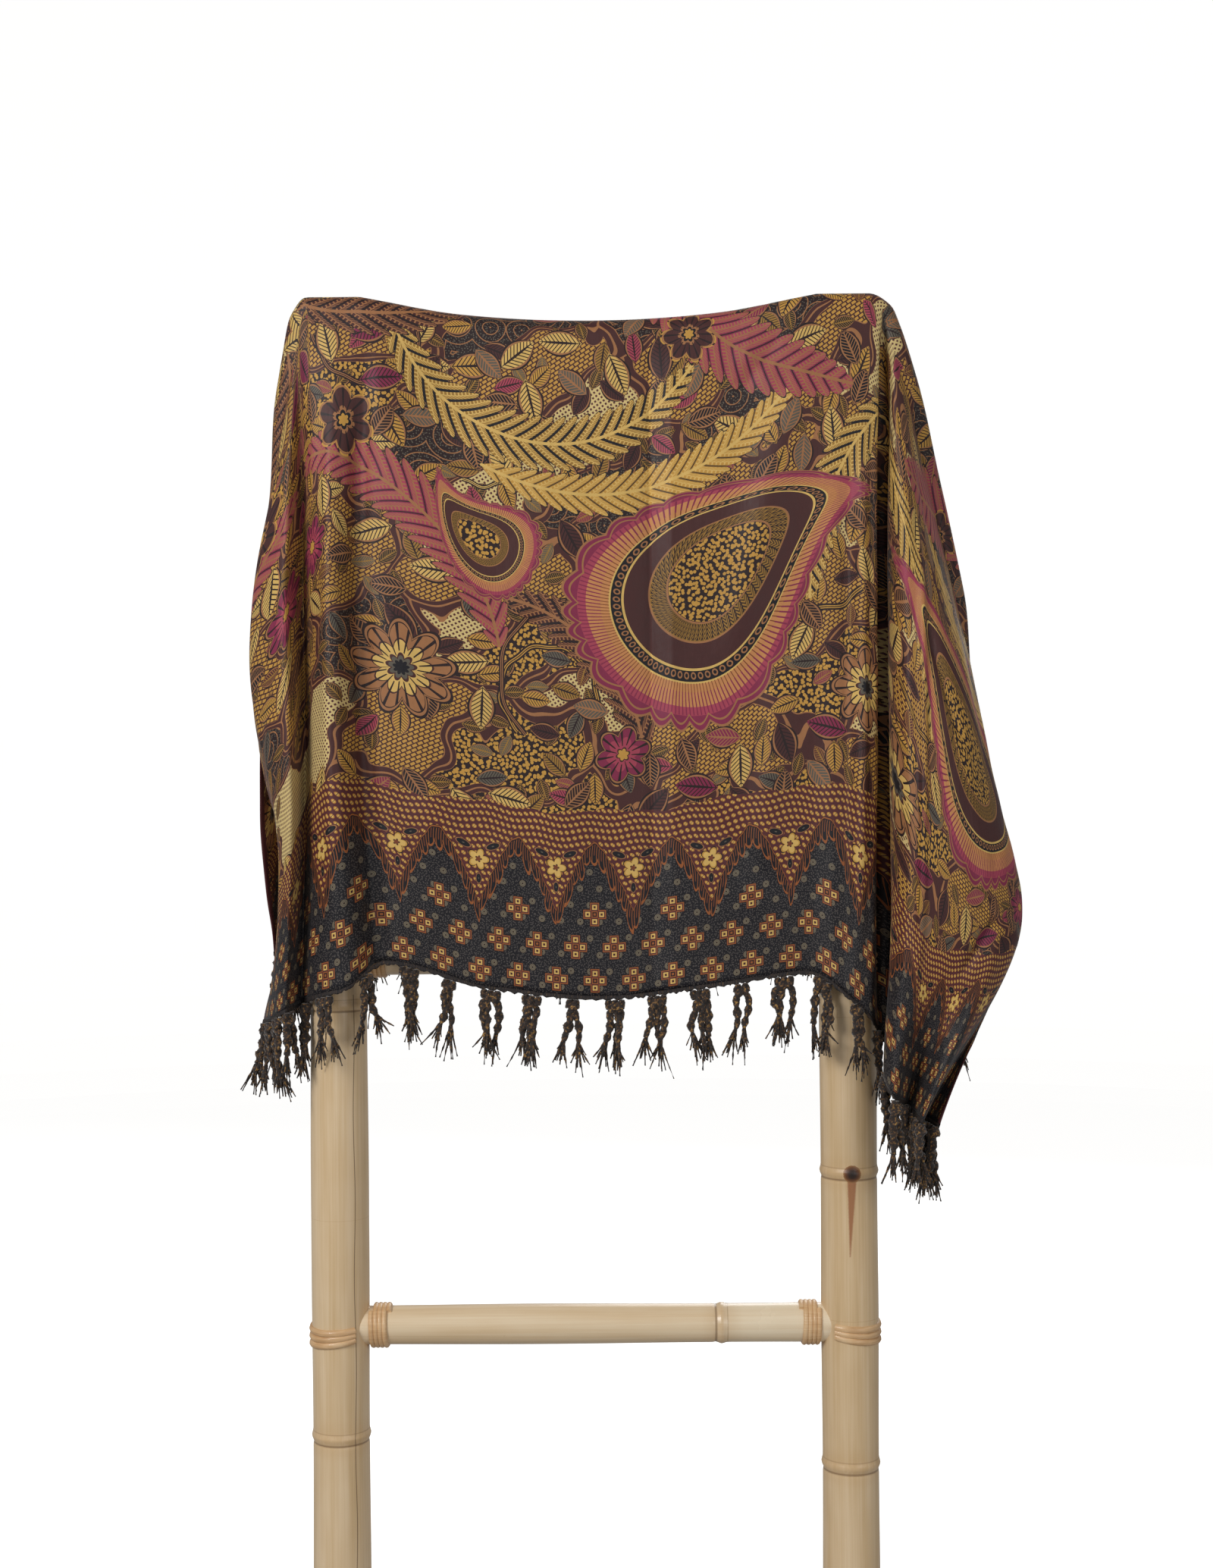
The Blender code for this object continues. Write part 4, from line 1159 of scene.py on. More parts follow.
FIELD_LEAF_TONES = (
    (0.0, GOLD),
    (0.34, OLD_GOLD),
    (0.52, SLATE),
    (0.66, CHOCOLATE),
    (0.80, PALE_GOLD),
    (0.93, PINK),
)
DARK_LEAF_TONES = ((0.0, NAVY), (0.40, DARK_BROWN), (0.62, SLATE), (0.78, MAROON), (0.92, WINE))
FIELD_BUD_TONES = ((0.0, PALE_GOLD), (0.45, CHOCOLATE), (0.70, GOLD), (0.88, WINE))
PINK_FROND = (WINE, PINK, TAN, DARK_BROWN)
NAVY_FROND = (NAVY, OLD_GOLD, PALE_GOLD, NAVY)
GOLD_FROND = (OLD_GOLD, GOLD, PALE_GOLD, NAVY)
BROWN_FROND = (DARK_BROWN, CHOCOLATE, TAN, DARK_BROWN)
GOLD_BLOSSOM = (
    (0.0, NAVY),
    (0.16, SLATE),
    (0.24, CHOCOLATE),
    (0.30, PALE_GOLD),
    (0.56, CHOCOLATE),
    (0.60, TAN),
    (0.90, DARK_BROWN),
)
WINE_BLOSSOM = ((0.0, GOLD), (0.20, CHOCOLATE), (0.26, PINK), (0.60, WINE), (0.91, DARK_BROWN))
BROWN_BLOSSOM = ((0.0, GOLD), (0.18, NAVY), (0.28, TAN), (0.40, CHOCOLATE), (0.92, GOLD))

Frond = namedtuple("Frond", "centre radius middle half width barbs colours")
FRONDS = (
    Frond((27.0, 50.0), 16.5, 262, 62, 2.6, 26, NAVY_FROND),
    Frond((31.0, 54.5), 25.5, 282, 37, 2.1, 26, GOLD_FROND),
    Frond((3.0, 12.0), 19.0, 52, 44, 2.9, 19, PINK_FROND),
    Frond((60.0, 62.0), 26.0, 225, 35, 3.5, 20, PINK_FROND),
    Frond((20.0, 4.0), 15.5, 42, 40, 2.4, 14, BROWN_FROND),
    Frond((72.0, 18.0), 21.0, 152, 30, 2.4, 16, NAVY_FROND),
    Frond((8.0, 58.0), 15.0, 285, 38, 2.1, 14, BROWN_FROND),
)

Bloom = namedtuple("Bloom", "centre degrees size petals bands")
BLOOMS = (
    Bloom((13.5, 11.5), 10, 4.6, 9, GOLD_BLOSSOM),
    Bloom((8.0, 33.5), 40, 3.1, 6, BROWN_BLOSSOM),
    Bloom((57.0, 9.0), 0, 3.9, 8, GOLD_BLOSSOM),
    Bloom((3.5, 23.0), 70, 2.9, 7, WINE_BLOSSOM),
    Bloom((33.5, 5.2), 15, 2.7, 6, WINE_BLOSSOM),
    Bloom((40.0, 43.0), 30, 2.6, 7, BROWN_BLOSSOM),
)

Curl = namedtuple("Curl", "centre radius middle half thick colour")
CURLS = (
    Curl((26.5, 10.5), 4.6, 100, 130, 0.13, GOLD),
    Curl((29.5, 12.0), 7.6, 150, 75, 0.11, TAN),
    Curl((52.5, 21.5), 5.2, 200, 120, 0.14, GOLD),
    Curl((9.5, 42.0), 5.0, 300, 110, 0.11, TAN),
    Curl((20.5, 33.0), 3.6, 20, 140, 0.10, PALE_GOLD),
)

Sprig = namedtuple("Sprig", "cell shift tones presence line")
LOW_SPRIGS = (
    Sprig(2.3, (1.1, 0.2), DARK_LEAF_TONES, 0.42, OLD_GOLD),
    Sprig(3.1, (0.4, 0.9), FIELD_LEAF_TONES, 0.50, DARK_BROWN),
)
HIGH_SPRIGS = (
    Sprig(4.3, (2.3, 1.1), FIELD_BUD_TONES, 0.36, DARK_BROWN),
    Sprig(3.6, (0.7, 2.2), DARK_LEAF_TONES, 0.30, TAN),
)

Teardrop = namedtuple("Teardrop", "centre degrees size curl")
TEARDROPS = (Teardrop((42.5, 21.5), -42.0, 14.5, 0.20), Teardrop((20.0, 24.5), 62.0, 5.8, 0.26))


def field_colour(paint, x, y):
    """The cloth's main field, in centimetres from its lower left corner."""
    place = paint.join(x, y)
    colour, seeds = field_ground(paint, place)
    for motif, rows in (
        (sprigs, LOW_SPRIGS),
        (stem, CURLS),
        (sprigs, HIGH_SPRIGS),
        (frond, FRONDS),
        (teardrop, [(*row, seeds) for row in TEARDROPS]),
        (blossom, BLOOMS),
    ):
        for row in rows:
            colour = motif(paint, place, colour, *row)
    return colour


TUMPAL_WIDTH = 7.34
TUMPAL_LOW = 7.7
TUMPAL_RISE = 6.4
FLAME_WIDTH = 0.66
SQUARE_SPACING = 3.67
SQUARE_ROW = 3.05
SQUARE_FIRST = 1.45
SQUARE_SIZE = 1.1
RING_SPACING = 1.835
RING_ROW = 1.525
GRAIN_SPACING = 0.56
GRAIN_ROW = 0.62
GAP_FLOWER_HEIGHT = 11.7
PETAL_BANDS = ((0.0, CHOCOLATE), (0.09, PALE_GOLD), (0.21, MAROON), (0.30, ORANGE), (0.38, DARK_BROWN))
HEART_BANDS = ((0.0, ORANGE), (0.09, DARK_BROWN), (0.19, ORANGE), (0.27, MAROON))
RING_BANDS = ((0.0, DARK_BROWN), (0.05, RING_GREY), (0.10, SLATE), (0.15, RING_GREY), (0.19, DARK_BROWN))
GAP_FLOWER_BANDS = ((0.0, RUST), (0.22, CHOCOLATE), (0.30, PALE_GOLD), (0.78, GOLD), (0.90, DARK_BROWN))


def square_flower(paint, x, y, under, keep):
    """Small square flower: four petals with a gold square in each, round a rust heart."""
    near_x, near_y = abs(x), abs(y)
    large = near_x.most(near_y)
    petal = abs(large - 0.60).most(near_x.least(near_y))
    colour = paint.mix(large < 0.30, paint.steps(petal, *PETAL_BANDS), paint.steps(large, *HEART_BANDS))
    inside = (petal < 0.44).most(large < 0.30)
    return paint.mix(inside * keep, under, colour)


def border_ground(paint, x, edge):
    """Specked navy with soft grey rings and rows of square flowers."""
    ground = grains(paint, paint.join(x, edge), 0.19, NAVY, SPECK_GREY, 0.29)
    ring_row = (edge / RING_ROW).floor()
    ring_x = (x / RING_SPACING + ring_row * 0.5 + 0.25).fraction() - 0.5
    ring_y = (edge / RING_ROW).fraction() - 0.5
    ring = (ring_x * ring_x * 1.45 + ring_y * ring_y).root()
    ground = paint.mix(ring < 0.215, ground, paint.steps(ring, *RING_BANDS))
    level = (edge - SQUARE_FIRST) / SQUARE_ROW + 0.5
    row = level.floor()
    in_row = (level.fraction() - 0.5) * (SQUARE_ROW / SQUARE_SIZE)
    column = x / SQUARE_SPACING + row * 0.5 + 0.5
    in_column = (column.fraction() - 0.5) * (SQUARE_SPACING / SQUARE_SIZE)
    under_peak = (column.floor() * 0.5).fraction() < 0.25
    keep = (row < 1.5).most((row < 2.5) * under_peak)
    return square_flower(paint, in_column, in_row, ground, keep)


def flames(paint, x, edge, below, ground):
    """Narrow tongues outlined in orange that hang below the triangles' rim."""
    flame = x / FLAME_WIDTH + (edge * 1.1).sine() * 0.22
    chance = paint.node("ShaderNodeTexWhiteNoise", {"noise_dimensions": "1D"}, W=flame.floor())
    side = abs(flame.fraction() - 0.5) * 2
    tongue = below / (chance + 1.5) + side * side * 0.30
    loop = (tongue > 0.88).most(side.within(0.56, 0.74))
    colour = paint.mix((tongue < 0.55) * (side < 0.12), NAVY, RUST)
    colour = paint.mix(loop, colour, ORANGE)
    return paint.mix((tongue < 1.0) * (below > 0.0), ground, colour)


def rice_band(paint, x, edge):
    """Gold rice grains in wandering rows on maroon, with a flower and leaves between the triangles."""
    level = edge + (x * 1.3).sine() * 0.14 + (x * 0.47).sine() * 0.12
    beside = x + (edge * 1.9).sine() * 0.10
    grain_row = (level / GRAIN_ROW).floor()
    grain_x = (beside / GRAIN_SPACING + grain_row * 0.5).fraction() - 0.5
    grain_y = (level / GRAIN_ROW).fraction() - 0.5
    lean = grain_x + grain_y * 0.5
    dot = (lean * lean + grain_y * grain_y * 1.2).root()
    notch = abs(grain_x - grain_y * 0.9) > 0.055
    rice = paint.steps(dot, (0.0, PALE_GOLD), (0.17, GOLD), (0.31, ORANGE), (0.37, MAROON))
    rice = paint.mix(notch, MAROON, rice)
    gap_x = ((x / TUMPAL_WIDTH + 0.5).fraction() - 0.5) * TUMPAL_WIDTH
    away, angle = paint.polar(gap_x, edge - GAP_FLOWER_HEIGHT)
    petal = away / (abs((angle * 2.5).cosine()) * 0.55 + 0.55)
    side_leaf, side_y = abs(gap_x) - 1.35, edge - 13.0
    low_leaf, low_y = gap_x / 0.80, (edge - 9.9) / 0.80
    for reach in (
        (side_leaf * side_leaf * 1.5 + side_y * side_y * 4.6 - side_leaf * side_y * 2.8).root(),
        (low_leaf * low_leaf * 5.0 + low_y * low_y * 1.3).root(),
    ):
        leaf = paint.steps(reach, (0.0, SLATE), (0.12, NAVY), (0.62, TAN), (0.72, MAROON))
        rice = paint.mix(reach < 0.82, rice, leaf)
    return paint.mix(petal < 1.0, rice, paint.steps(petal, *GAP_FLOWER_BANDS))


def border_colour(paint, x, edge):
    """The border by distance from the nearest hem: square flowers, triangles with flames, grains."""
    swing = abs((x / TUMPAL_WIDTH).fraction() - 0.5) * 2
    rounded = ((swing * swing + 0.035).root() - 0.187) / 0.830
    rim = (1 - rounded * 0.72 - swing * swing * 0.28) * TUMPAL_RISE + TUMPAL_LOW
    below = rim + (x * 7.0).sine() * 0.07 - edge
    colour = flames(paint, x, edge, below, border_ground(paint, x, edge))
    colour = paint.mix(below < 0.0, colour, rice_band(paint, x, edge))
    colour = paint.mix(abs(below - 0.02) < 0.15, colour, DARK_BROWN)
    return paint.mix(abs(below) < 0.065, colour, ORANGE)


# Painted highlight along the pressed folds: for each pale line, its place beside the fold, half width and
# strength.
PaintedFoldHighlight = namedtuple("PaintedFoldHighlight", "beside half_width strength")
PAINTED_FOLD_HIGHLIGHTS = (PaintedFoldHighlight(0.0, 0.16, 1.0), PaintedFoldHighlight(1.6, 0.10, 0.5))
CLOTH_CAST = (1.0, 0.91, 0.90)


def batik_cloth(settings):
    """Printed rayon: border at both hems, field between, plain edge along the selvedges, with painted
    highlights along the pressed folds.
    """
    paint = Paint("batik_cloth")
    flat = paint.node("ShaderNodeUVMap", {"uv_map": "flat"})
    across, along = [part * (UV_SPAN * 100) for part in paint.split(flat)[:2]]
    edge = along.least(CLOTH_LENGTH * 100 - along)
    field_x = (across - MIRROR_LEFT).back_and_forth(MIRROR_WIDTH)
    field_y = along.least(2 * RIDGE_LENGTH - along) - BORDER_TOP
    field = field_colour(paint, field_x, field_y)
    border = border_colour(paint, across, edge)
    border_rim = (across * 0.55).sine() * 0.25 + (across * 1.7).sine() * 0.12 + BORDER_TOP
    colour = paint.mix(edge < border_rim, field, border)
    from_selvedge = across.least(CLOTH_WIDTH * 100 - across)
    colour = paint.mix(from_selvedge < settings.selvedge * 100, colour, MAROON)
    place = paint.join(across, along)
    worn = paint.noise(place, 0.10, 3.0)
    dye = paint.noise(place, 1.6, 2.0, 0.6)
    tone = worn * 0.26 + dye * 0.26 + 0.62
    # Painted highlight: the tone is raised in a pale line along each pressed fold, standing in for light
    # catching the crease.
    for line in PAINTED_FOLD_HIGHLIGHTS:
        off_line = abs(across - (PRESSED_FOLD + line.beside))
        tone = tone + (1 - off_line / line.half_width).above_zero() * (line.strength * 0.20)
    colour = paint.vectors("SCALE", paint.vectors("MULTIPLY", colour, CLOTH_CAST), Scale=tone)
    crinkle = paint.noise(paint.move(place, size=(1.0, 2.6, 1.0)), 0.55, 4.0, 0.55)
    thread = paint.noise(place, 14.0, 1.0)
    return paint.finish(
        colour,
        dye * 0.16 + 0.48,
        crinkle + thread * 0.06,
        bump=0.55,
        bump_distance=0.0022,
        Sheen_Weight=0.10,
        Sheen_Roughness=0.4,
        Specular_IOR_Level=0.34,
    )


YARN_TONES = (
    (0.0, tint("#15110F")),
    (0.50, tint("#271C16")),
    (0.58, tint("#4A3220")),
    (0.66, tint("#7E5C30")),
    (0.80, tint("#B08A42")),
)
WARP_TONES = ((0.35, tint("#120F12")), (0.60, tint("#2C2422")), (0.75, tint("#5A452C")))
BAMBOO_TONES = (
    (0.18, tint("#B39468")),
    (0.42, tint("#D1B388")),
    (0.60, tint("#DFC5A0")),
    (0.85, tint("#ECDABC")),
)
SCAR_TONES = (
    (0.0, tint("#1E1512")),
    (0.45, tint("#3A2418")),
    (0.80, tint("#6E4426")),
    (1.0, tint("#9A6D42")),
)
NodeBand = namedtuple("NodeBand", "beside half_width strength colour")
NODE_BANDS = (
    NodeBand(0.0, 0.020, 0.35, tint("#C39A66")),
    NodeBand(-0.0058, 0.0016, 0.75, tint("#6B4A2C")),
    NodeBand(0.0052, 0.0008, 0.45, tint("#8A6540")),
)
RATTAN_TONES = ((0.30, tint("#BC9163")), (0.52, tint("#D5AE80")), (0.72, tint("#E5C79E")))
WOOD_TONES = ((0.20, tint("#A9824F")), (0.50, tint("#C8A36E")), (0.80, tint("#D9BA8B")))


def twisted_yarn():
    """Dark yarn with flecks of gold and orange."""
    paint = Paint("twisted_yarn")
    place = paint.object_place()
    fleck = paint.noise(place, 380.0, 1.0)
    fibre = paint.noise(place, 1100.0, 1.0)
    colour = paint.vectors("SCALE", paint.blend_stops(fleck, *YARN_TONES), Scale=fibre * 0.8 + 0.6)
    return paint.finish(colour, 0.82, fibre, bump=0.7, Sheen_Weight=0.3)


def bare_warp():
    """Dark uneven warp at the hem, below the print."""
    paint = Paint("bare_warp")
    thread = paint.fibres(paint.object_place(), (0.0007, 0.0007, 0.004), 1.0)
    return paint.finish(paint.blend_stops(thread, *WARP_TONES), 0.8, thread, bump=0.6)


def bamboo_skin():
    """Pale bamboo: long fibres, darker nodes, a branch scar with its streak, a drying crack."""
    paint = Paint("bamboo_skin")
    place = paint.attribute("pole_place", 1)
    from_node = paint.attribute("from_node")
    stretch_tone = paint.attribute("tone")
    fine = paint.fibres(place, (0.0022, 0.0022, 0.16), 3.0, 0.6)
    broad = paint.fibres(place, (0.014, 0.014, 0.22))
    patch = paint.fibres(place, (0.030, 0.030, 0.050))
    tone = fine * 0.34 + broad * 0.40 + patch * 0.16 + stretch_tone * 0.40 - 0.10
    colour = paint.blend_stops(tone, *BAMBOO_TONES)
    for band in NODE_BANDS:
        near = (1 - abs(from_node - band.beside) / band.half_width).above_zero()
        colour = paint.mix(near * band.strength, colour, band.colour)
    x, y, z = paint.split(paint.object_place())
    facing = y < 0.0
    from_scar = x - (LADDER_X + POST_X)
    below_scar = RIGHT_POST_NODES[2] - z
    reach = (from_scar * from_scar + below_scar * below_scar).root() / 0.0080
    ragged = paint.noise(place, 600.0, 2.0) * 0.5
    streak = (abs(from_scar + below_scar * 0.03) - (0.0042 - below_scar * 0.055)) / 0.0016 + ragged
    in_streak = (1 - streak).above_zero().least(1.0) * below_scar.within(0.006, 0.078)
    colour = paint.mix(in_streak * facing * 0.85, colour, tint("#9A5E36"))
    scar = paint.blend_stops(reach, *SCAR_TONES)
    colour = paint.mix((reach + ragged * 0.3 < 1.12) * facing, colour, scar)
    crack = abs(x - (LADDER_X - POST_X + 0.0165) - (z * 40.0).sine() * 0.0006) < 0.00035
    colour = paint.mix(crack * facing * (z < 0.86) * 0.75, colour, tint("#5E4128"))
    roughness = paint.noise(place, 60.0, 2.0) * 0.14 + 0.30 - (stretch_tone - 0.4) * 0.18
    return paint.finish(
        colour, roughness, fine, bump=0.16, bump_distance=0.0005, Coat_Weight=0.18, Coat_Roughness=0.28
    )


def split_rattan():
    """Rattan strand: warm tan with faint fibres."""
    paint = Paint("split_rattan")
    place = paint.object_place()
    fibre = paint.fibres(place, (0.02, 0.02, 0.0012))
    patch = paint.noise(place, 45.0, 2.0)
    colour = paint.blend_stops(fibre * 0.45 + patch * 0.55, *RATTAN_TONES)
    return paint.finish(colour, 0.42, fibre, bump=0.25, Coat_Weight=0.12)


def foot_wood():
    """Pale planed wood with its grain along the bar."""
    paint = Paint("foot_wood")
    place = paint.object_place()
    rings = paint.fibres(place, (0.018, 0.30, 0.018), 4.0, 0.6)
    pores = paint.fibres(place, (0.0016, 0.030, 0.0016))
    colour = paint.blend_stops((rings * 7.0).fraction() * 0.35 + rings * 0.65, *WOOD_TONES)
    colour = paint.mix((pores < 0.36) * 0.35, colour, tint("#8A6539"))
    return paint.finish(colour, 0.46, pores, bump=0.18)


def pale_backdrop():
    """Pale matt floor and backdrop that glow a little, so that they stay light behind the cloth."""
    paint = Paint("pale_backdrop")
    glow = {"Emission_Color": tint("#FFFFFF"), "Emission_Strength": 0.74}
    return paint.finish(tint("#E4E2DE"), 0.9, **glow)


FLOOR_FORM = (7.0, 2.0, 5.0)
Light = namedtuple("Light", "name place size share")
LIGHTS = (
    Light("key", (-2.1, -2.4, 2.5), 1.2, 1.0),
    Light("fill", (1.9, -2.9, 1.5), 2.0, 0.34),
    Light("behind", (0.8, 2.8, 2.4), 2.0, 0.55),
)
LIGHT_AIM_HEIGHT = 1.1


def backdrop_points(radius, bend, height):
    """Rings of a round floor whose rim curves up into a wall."""
    turns = np.linspace(0, 2 * math.pi, 97)
    rings = [(reach, 0.0) for reach in np.linspace(0.001, radius - bend, 9)]
    rings += [
        (radius - bend + bend * math.sin(angle), bend - bend * math.cos(angle))
        for angle in np.linspace(0, math.pi / 2, 13)[1:]
    ]
    rings.append((radius, height))
    return np.array([[(r * math.cos(t), r * math.sin(t), z) for t in turns] for r, z in rings])


class SarongClothSettings(bpy.types.PropertyGroup):
    """Sizes of the draped cloth."""

    crease_strength: bpy.props.FloatProperty(
        name="Crease strength", description="How far the creases stand out", default=1.0, min=0.0, max=2.0
    )
    ripple_strength: bpy.props.FloatProperty(
        name="Ripple strength", description="How uneven the cloth is between creases", default=1.0, min=0.0
    )
    selvedge: bpy.props.FloatProperty(
        name="Selvedge", description="Width of the plain side edge", default=0.011, min=0.0, unit="LENGTH"
    )


class SarongFringeSettings(bpy.types.PropertyGroup):
    """Sizes of the tassels."""

    tassel_length: bpy.props.FloatProperty(
        name="Tassel length", description="Longest tassel below the hem", default=0.046, unit="LENGTH"
    )
    strand_radius: bpy.props.FloatProperty(
        name="Strand radius", description="Half a twisted lock's thickness", default=0.0039, unit="LENGTH"
    )
    twist: bpy.props.FloatProperty(
        name="Twist", description="Turns of a lock in each metre", default=46.0, min=0.0
    )
    fray_count: bpy.props.IntProperty(
        name="Frayed threads", description="Loose threads at the end of each lock", default=13, min=0
    )


class LadderSettings(bpy.types.PropertyGroup):
    """Sizes of the bamboo ladder and its rattan."""

    node_height: bpy.props.FloatProperty(
        name="Node height", description="How strongly the bamboo nodes stand out", default=1.0, min=0.0
    )
    knot_height: bpy.props.FloatProperty(
        name="Knot height", description="Height of the branch scar", default=0.0011, unit="LENGTH"
    )
    collar_turns: bpy.props.IntProperty(
        name="Turns on a rung", description="Turns of rattan beside each post", default=4, min=1
    )
    band_turns: bpy.props.IntProperty(
        name="Turns on a post", description="Strands of rattan round each joint", default=3, min=1
    )
    rattan_proud: bpy.props.FloatProperty(
        name="Rattan thickness", description="How far the rattan stands out", default=0.0029, unit="LENGTH"
    )


class StageSettings(bpy.types.PropertyGroup):
    """Camera and light."""

    distance: bpy.props.FloatProperty(
        name="Camera distance", description="From the camera to the ladder", default=1.95, unit="LENGTH"
    )
    height: bpy.props.FloatProperty(
        name="Camera height", description="Height of the camera", default=1.0573, unit="LENGTH"
    )
    sideways: bpy.props.FloatProperty(
        name="Camera sideways", description="Camera's place beside the ladder's middle", default=0.0142
    )
    field: bpy.props.FloatProperty(
        name="Field of view", description="Height of the view", default=math.radians(42.0), subtype="ANGLE"
    )
    roll: bpy.props.FloatProperty(
        name="Roll", description="How far the camera is turned", default=math.radians(0.4), subtype="ANGLE"
    )
    key_power: bpy.props.FloatProperty(
        name="Key light", description="Power of the large soft light", default=72.0, min=0.0
    )
    sky: bpy.props.FloatProperty(name="Sky", description="Strength of the even light", default=0.28, min=0.0)


SETTINGS = {
    "sarong_cloth_settings": SarongClothSettings,
    "sarong_fringe_settings": SarongFringeSettings,
    "ladder_settings": LadderSettings,
    "sarong_stage_settings": StageSettings,
}


class SARONG_OT_cloth(bpy.types.Operator):
    """Drape the printed cloth over the posts"""

    bl_idname = "sarong.cloth"
    bl_label = "Batik cloth"

    def execute(self, context):
        settings = context.scene.sarong_cloth_settings
        columns, drops, points = cloth_grid(settings)
        mesh = new_mesh("batik_sarong", points, grid_faces(len(drops), len(columns)))
        across, drop = np.meshgrid(columns, drops)
        flat = np.stack([across - LEFT_EDGE, drop + FRONT_DROP], axis=-1).reshape(-1, 2) / UV_SPAN
        corners = np.zeros(len(mesh.loops), dtype=int)
        mesh.loops.foreach_get("vertex_index", corners)
        mesh.uv_layers.new(name="flat").data.foreach_set("uv", flat[corners].ravel())
        cloth = add_piece("batik_sarong", mesh, batik_cloth(settings))
        wall = cloth.modifiers.new("wall", "SOLIDIFY")
        wall.thickness = CLOTH_WALL
        wall.offset = 0.0
        wall.use_even_offset = False
        settle(cloth, ["sarong_cloth"])
        return {"FINISHED"}


class SARONG_OT_fringe(bpy.types.Operator):
    """Hang the twisted tassels from both hems"""

    bl_idname = "sarong.fringe"
    bl_label = "Tassels"

    def execute(self, context):
        settings = context.scene.sarong_fringe_settings
        yarn = twisted_yarn()
        warp = bare_warp()
        tree = strand_tree("twisted_strands", yarn.name)
        sizes = {
            "Radius": settings.strand_radius,
            "Turns_per_metre": settings.twist,
            "Lobe_depth": LOBE_DEPTH,
            "Sides": LOCK_SIDES,
        }
        on_cloth = []
        for front, seed in ((True, 11), (False, 23)):
            side = "front" if front else "back"
            name = f"{side}_tassels"
            mesh = run_tree(name, tassel_paths(front, settings, seed), tree, **sizes)
            tassels = add_piece(name, mesh, yarn)
            settle(tassels, [f"fringe_{side}"])
            band = add_piece(f"{name}_band", hem_band_mesh(front), warp)
            settle(band, [])
            on_cloth += [tassels, band]
        return {"FINISHED"}


class SARONG_OT_ladder(bpy.types.Operator):
    """Make the bamboo posts and rungs"""

    bl_idname = "sarong.ladder"
    bl_label = "Bamboo ladder"

    def execute(self, context):
        settings = context.scene.ladder_settings
        skin = bamboo_skin()
        for seed, pole in enumerate(ladder_poles()):
            piece = add_piece(f"bamboo_{pole.name}", pole_mesh(pole, settings, seed), skin)
            settle(piece, [pole.name])
        return {"FINISHED"}


class SARONG_OT_binding(bpy.types.Operator):
    """Wind the rattan round the joints"""

    bl_idname = "sarong.binding"
    bl_label = "Rattan bindings"

    def execute(self, context):
        settings = context.scene.ladder_settings
        rattan = split_rattan()
        tree = strand_tree("rattan_strands", rattan.name)
        sizes = {"Turns_per_metre": 0.0, "Lobe_depth": 0.0, "Sides": STRAND_SIDES}
        kinds = (("collar", collar_paths, RATTAN_RADIUS), ("band", band_paths, BAND_STRAND_RADIUS))
        for index, height in enumerate(RUNG_HEIGHTS):
            for side, word in ((-1, "left"), (1, "right")):
                for kind, make_paths, radius in kinds:
                    node = f"{kind}_{index + 1}_{word}"
                    shape = Shape()
                    for path in make_paths(side, height, settings):
                        shape.add_path(path, thick=1.0)
                    mesh = run_tree(node, shape.mesh(node), tree, Radius=radius, **sizes)
                    settle(add_piece(f"rattan_{node}", mesh, rattan), [node])
        return {"FINISHED"}


class SARONG_OT_feet(bpy.types.Operator):
    """Give the foot bars their wood"""

    bl_idname = "sarong.feet"
    bl_label = "Foot bars"

    def execute(self, context):
        wood = foot_wood()
        for node in ("foot_left", "foot_right"):
            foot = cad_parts[node]
            foot.data.materials.clear()
            foot.data.materials.append(wood)
        return {"FINISHED"}


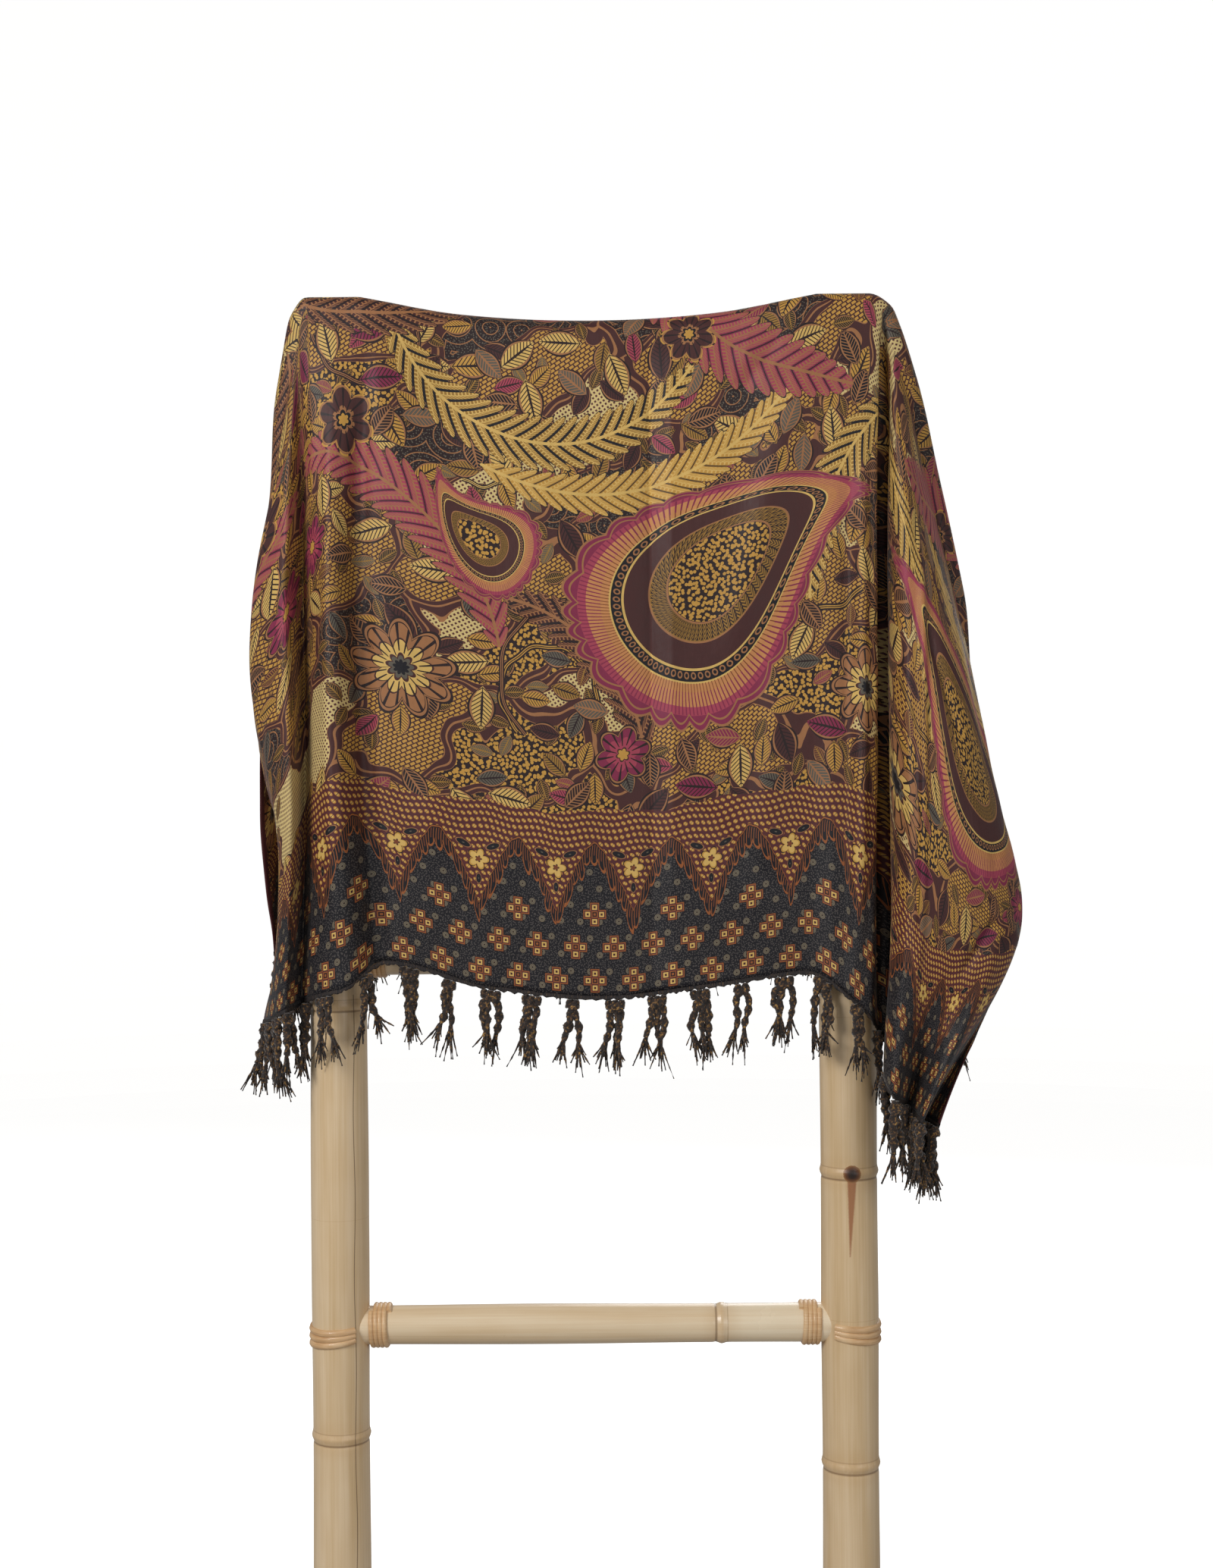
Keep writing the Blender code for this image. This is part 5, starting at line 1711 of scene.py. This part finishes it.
class SARONG_OT_stage(bpy.types.Operator):
    """Set the floor, the light and the camera"""

    bl_idname = "sarong.stage"
    bl_label = "Floor, light and camera"

    def execute(self, context):
        settings = context.scene.sarong_stage_settings
        points = backdrop_points(*FLOOR_FORM)
        mesh = new_mesh("floor", points, grid_faces(*points.shape[:2]))
        mesh.materials.append(pale_backdrop())
        floor = link("floor", mesh)
        floor.visible_diffuse = False
        floor.visible_glossy = False
        for row in LIGHTS:
            self.add_light(row, settings.key_power * row.share)
        world = bpy.data.worlds.new("plain_light")
        world.use_nodes = True
        sky = world.node_tree.nodes["Background"]
        sky.inputs["Color"].default_value = (1.0, 1.0, 1.0, 1.0)
        sky.inputs["Strength"].default_value = settings.sky
        context.scene.world = world
        context.scene.view_settings.view_transform = "Standard"
        eye = bpy.data.cameras.new("photo_view")
        eye.sensor_fit = "VERTICAL"
        eye.angle_y = settings.field
        camera = link("photo_view", eye)
        camera.location = (LADDER_X + settings.sideways, -settings.distance, settings.height)
        camera.rotation_euler = (math.pi / 2, settings.roll, 0.0)
        context.scene.camera = camera
        return {"FINISHED"}

    def add_light(self, row, power):
        """One large soft square light that looks at the cloth."""
        data = bpy.data.lights.new(row.name, "AREA")
        data.shape = "SQUARE"
        data.size = row.size
        data.energy = power
        light = link(row.name, data)
        light.location = row.place
        aim = Vector((LADDER_X, 0.0, LIGHT_AIM_HEIGHT)) - Vector(row.place)
        light.rotation_euler = aim.to_track_quat("-Z", "Y").to_euler()


OPERATORS = (
    SARONG_OT_stage,
    SARONG_OT_ladder,
    SARONG_OT_binding,
    SARONG_OT_feet,
    SARONG_OT_cloth,
    SARONG_OT_fringe,
)


class SARONG_PT_panel(bpy.types.Panel):
    """Lists the pieces and their sizes"""

    bl_idname = "SARONG_PT_panel"
    bl_label = "Sarong on a ladder"
    bl_space_type = "VIEW_3D"
    bl_region_type = "UI"
    bl_category = "Sarong"

    def draw(self, context):
        for operator in OPERATORS:
            self.layout.operator(operator.bl_idname)
        for name, group in SETTINGS.items():
            box = self.layout.box()
            for label in group.__annotations__:
                box.prop(getattr(context.scene, name), label)


CLASSES = (*SETTINGS.values(), *OPERATORS, SARONG_PT_panel)


def register():
    """Register the classes and hang the settings on the scene."""
    for made in CLASSES:
        bpy.utils.register_class(made)
    for name, group in SETTINGS.items():
        setattr(bpy.types.Scene, name, bpy.props.PointerProperty(type=group))


def unregister():
    """Take everything off again."""
    for name in SETTINGS:
        delattr(bpy.types.Scene, name)
    for made in reversed(CLASSES):
        bpy.utils.unregister_class(made)


def main():
    """Make every piece."""
    register()
    bpy.ops.sarong.stage()
    bpy.ops.sarong.ladder()
    bpy.ops.sarong.binding()
    bpy.ops.sarong.feet()
    bpy.ops.sarong.cloth()
    bpy.ops.sarong.fringe()


if __name__ == "__main__":
    main()
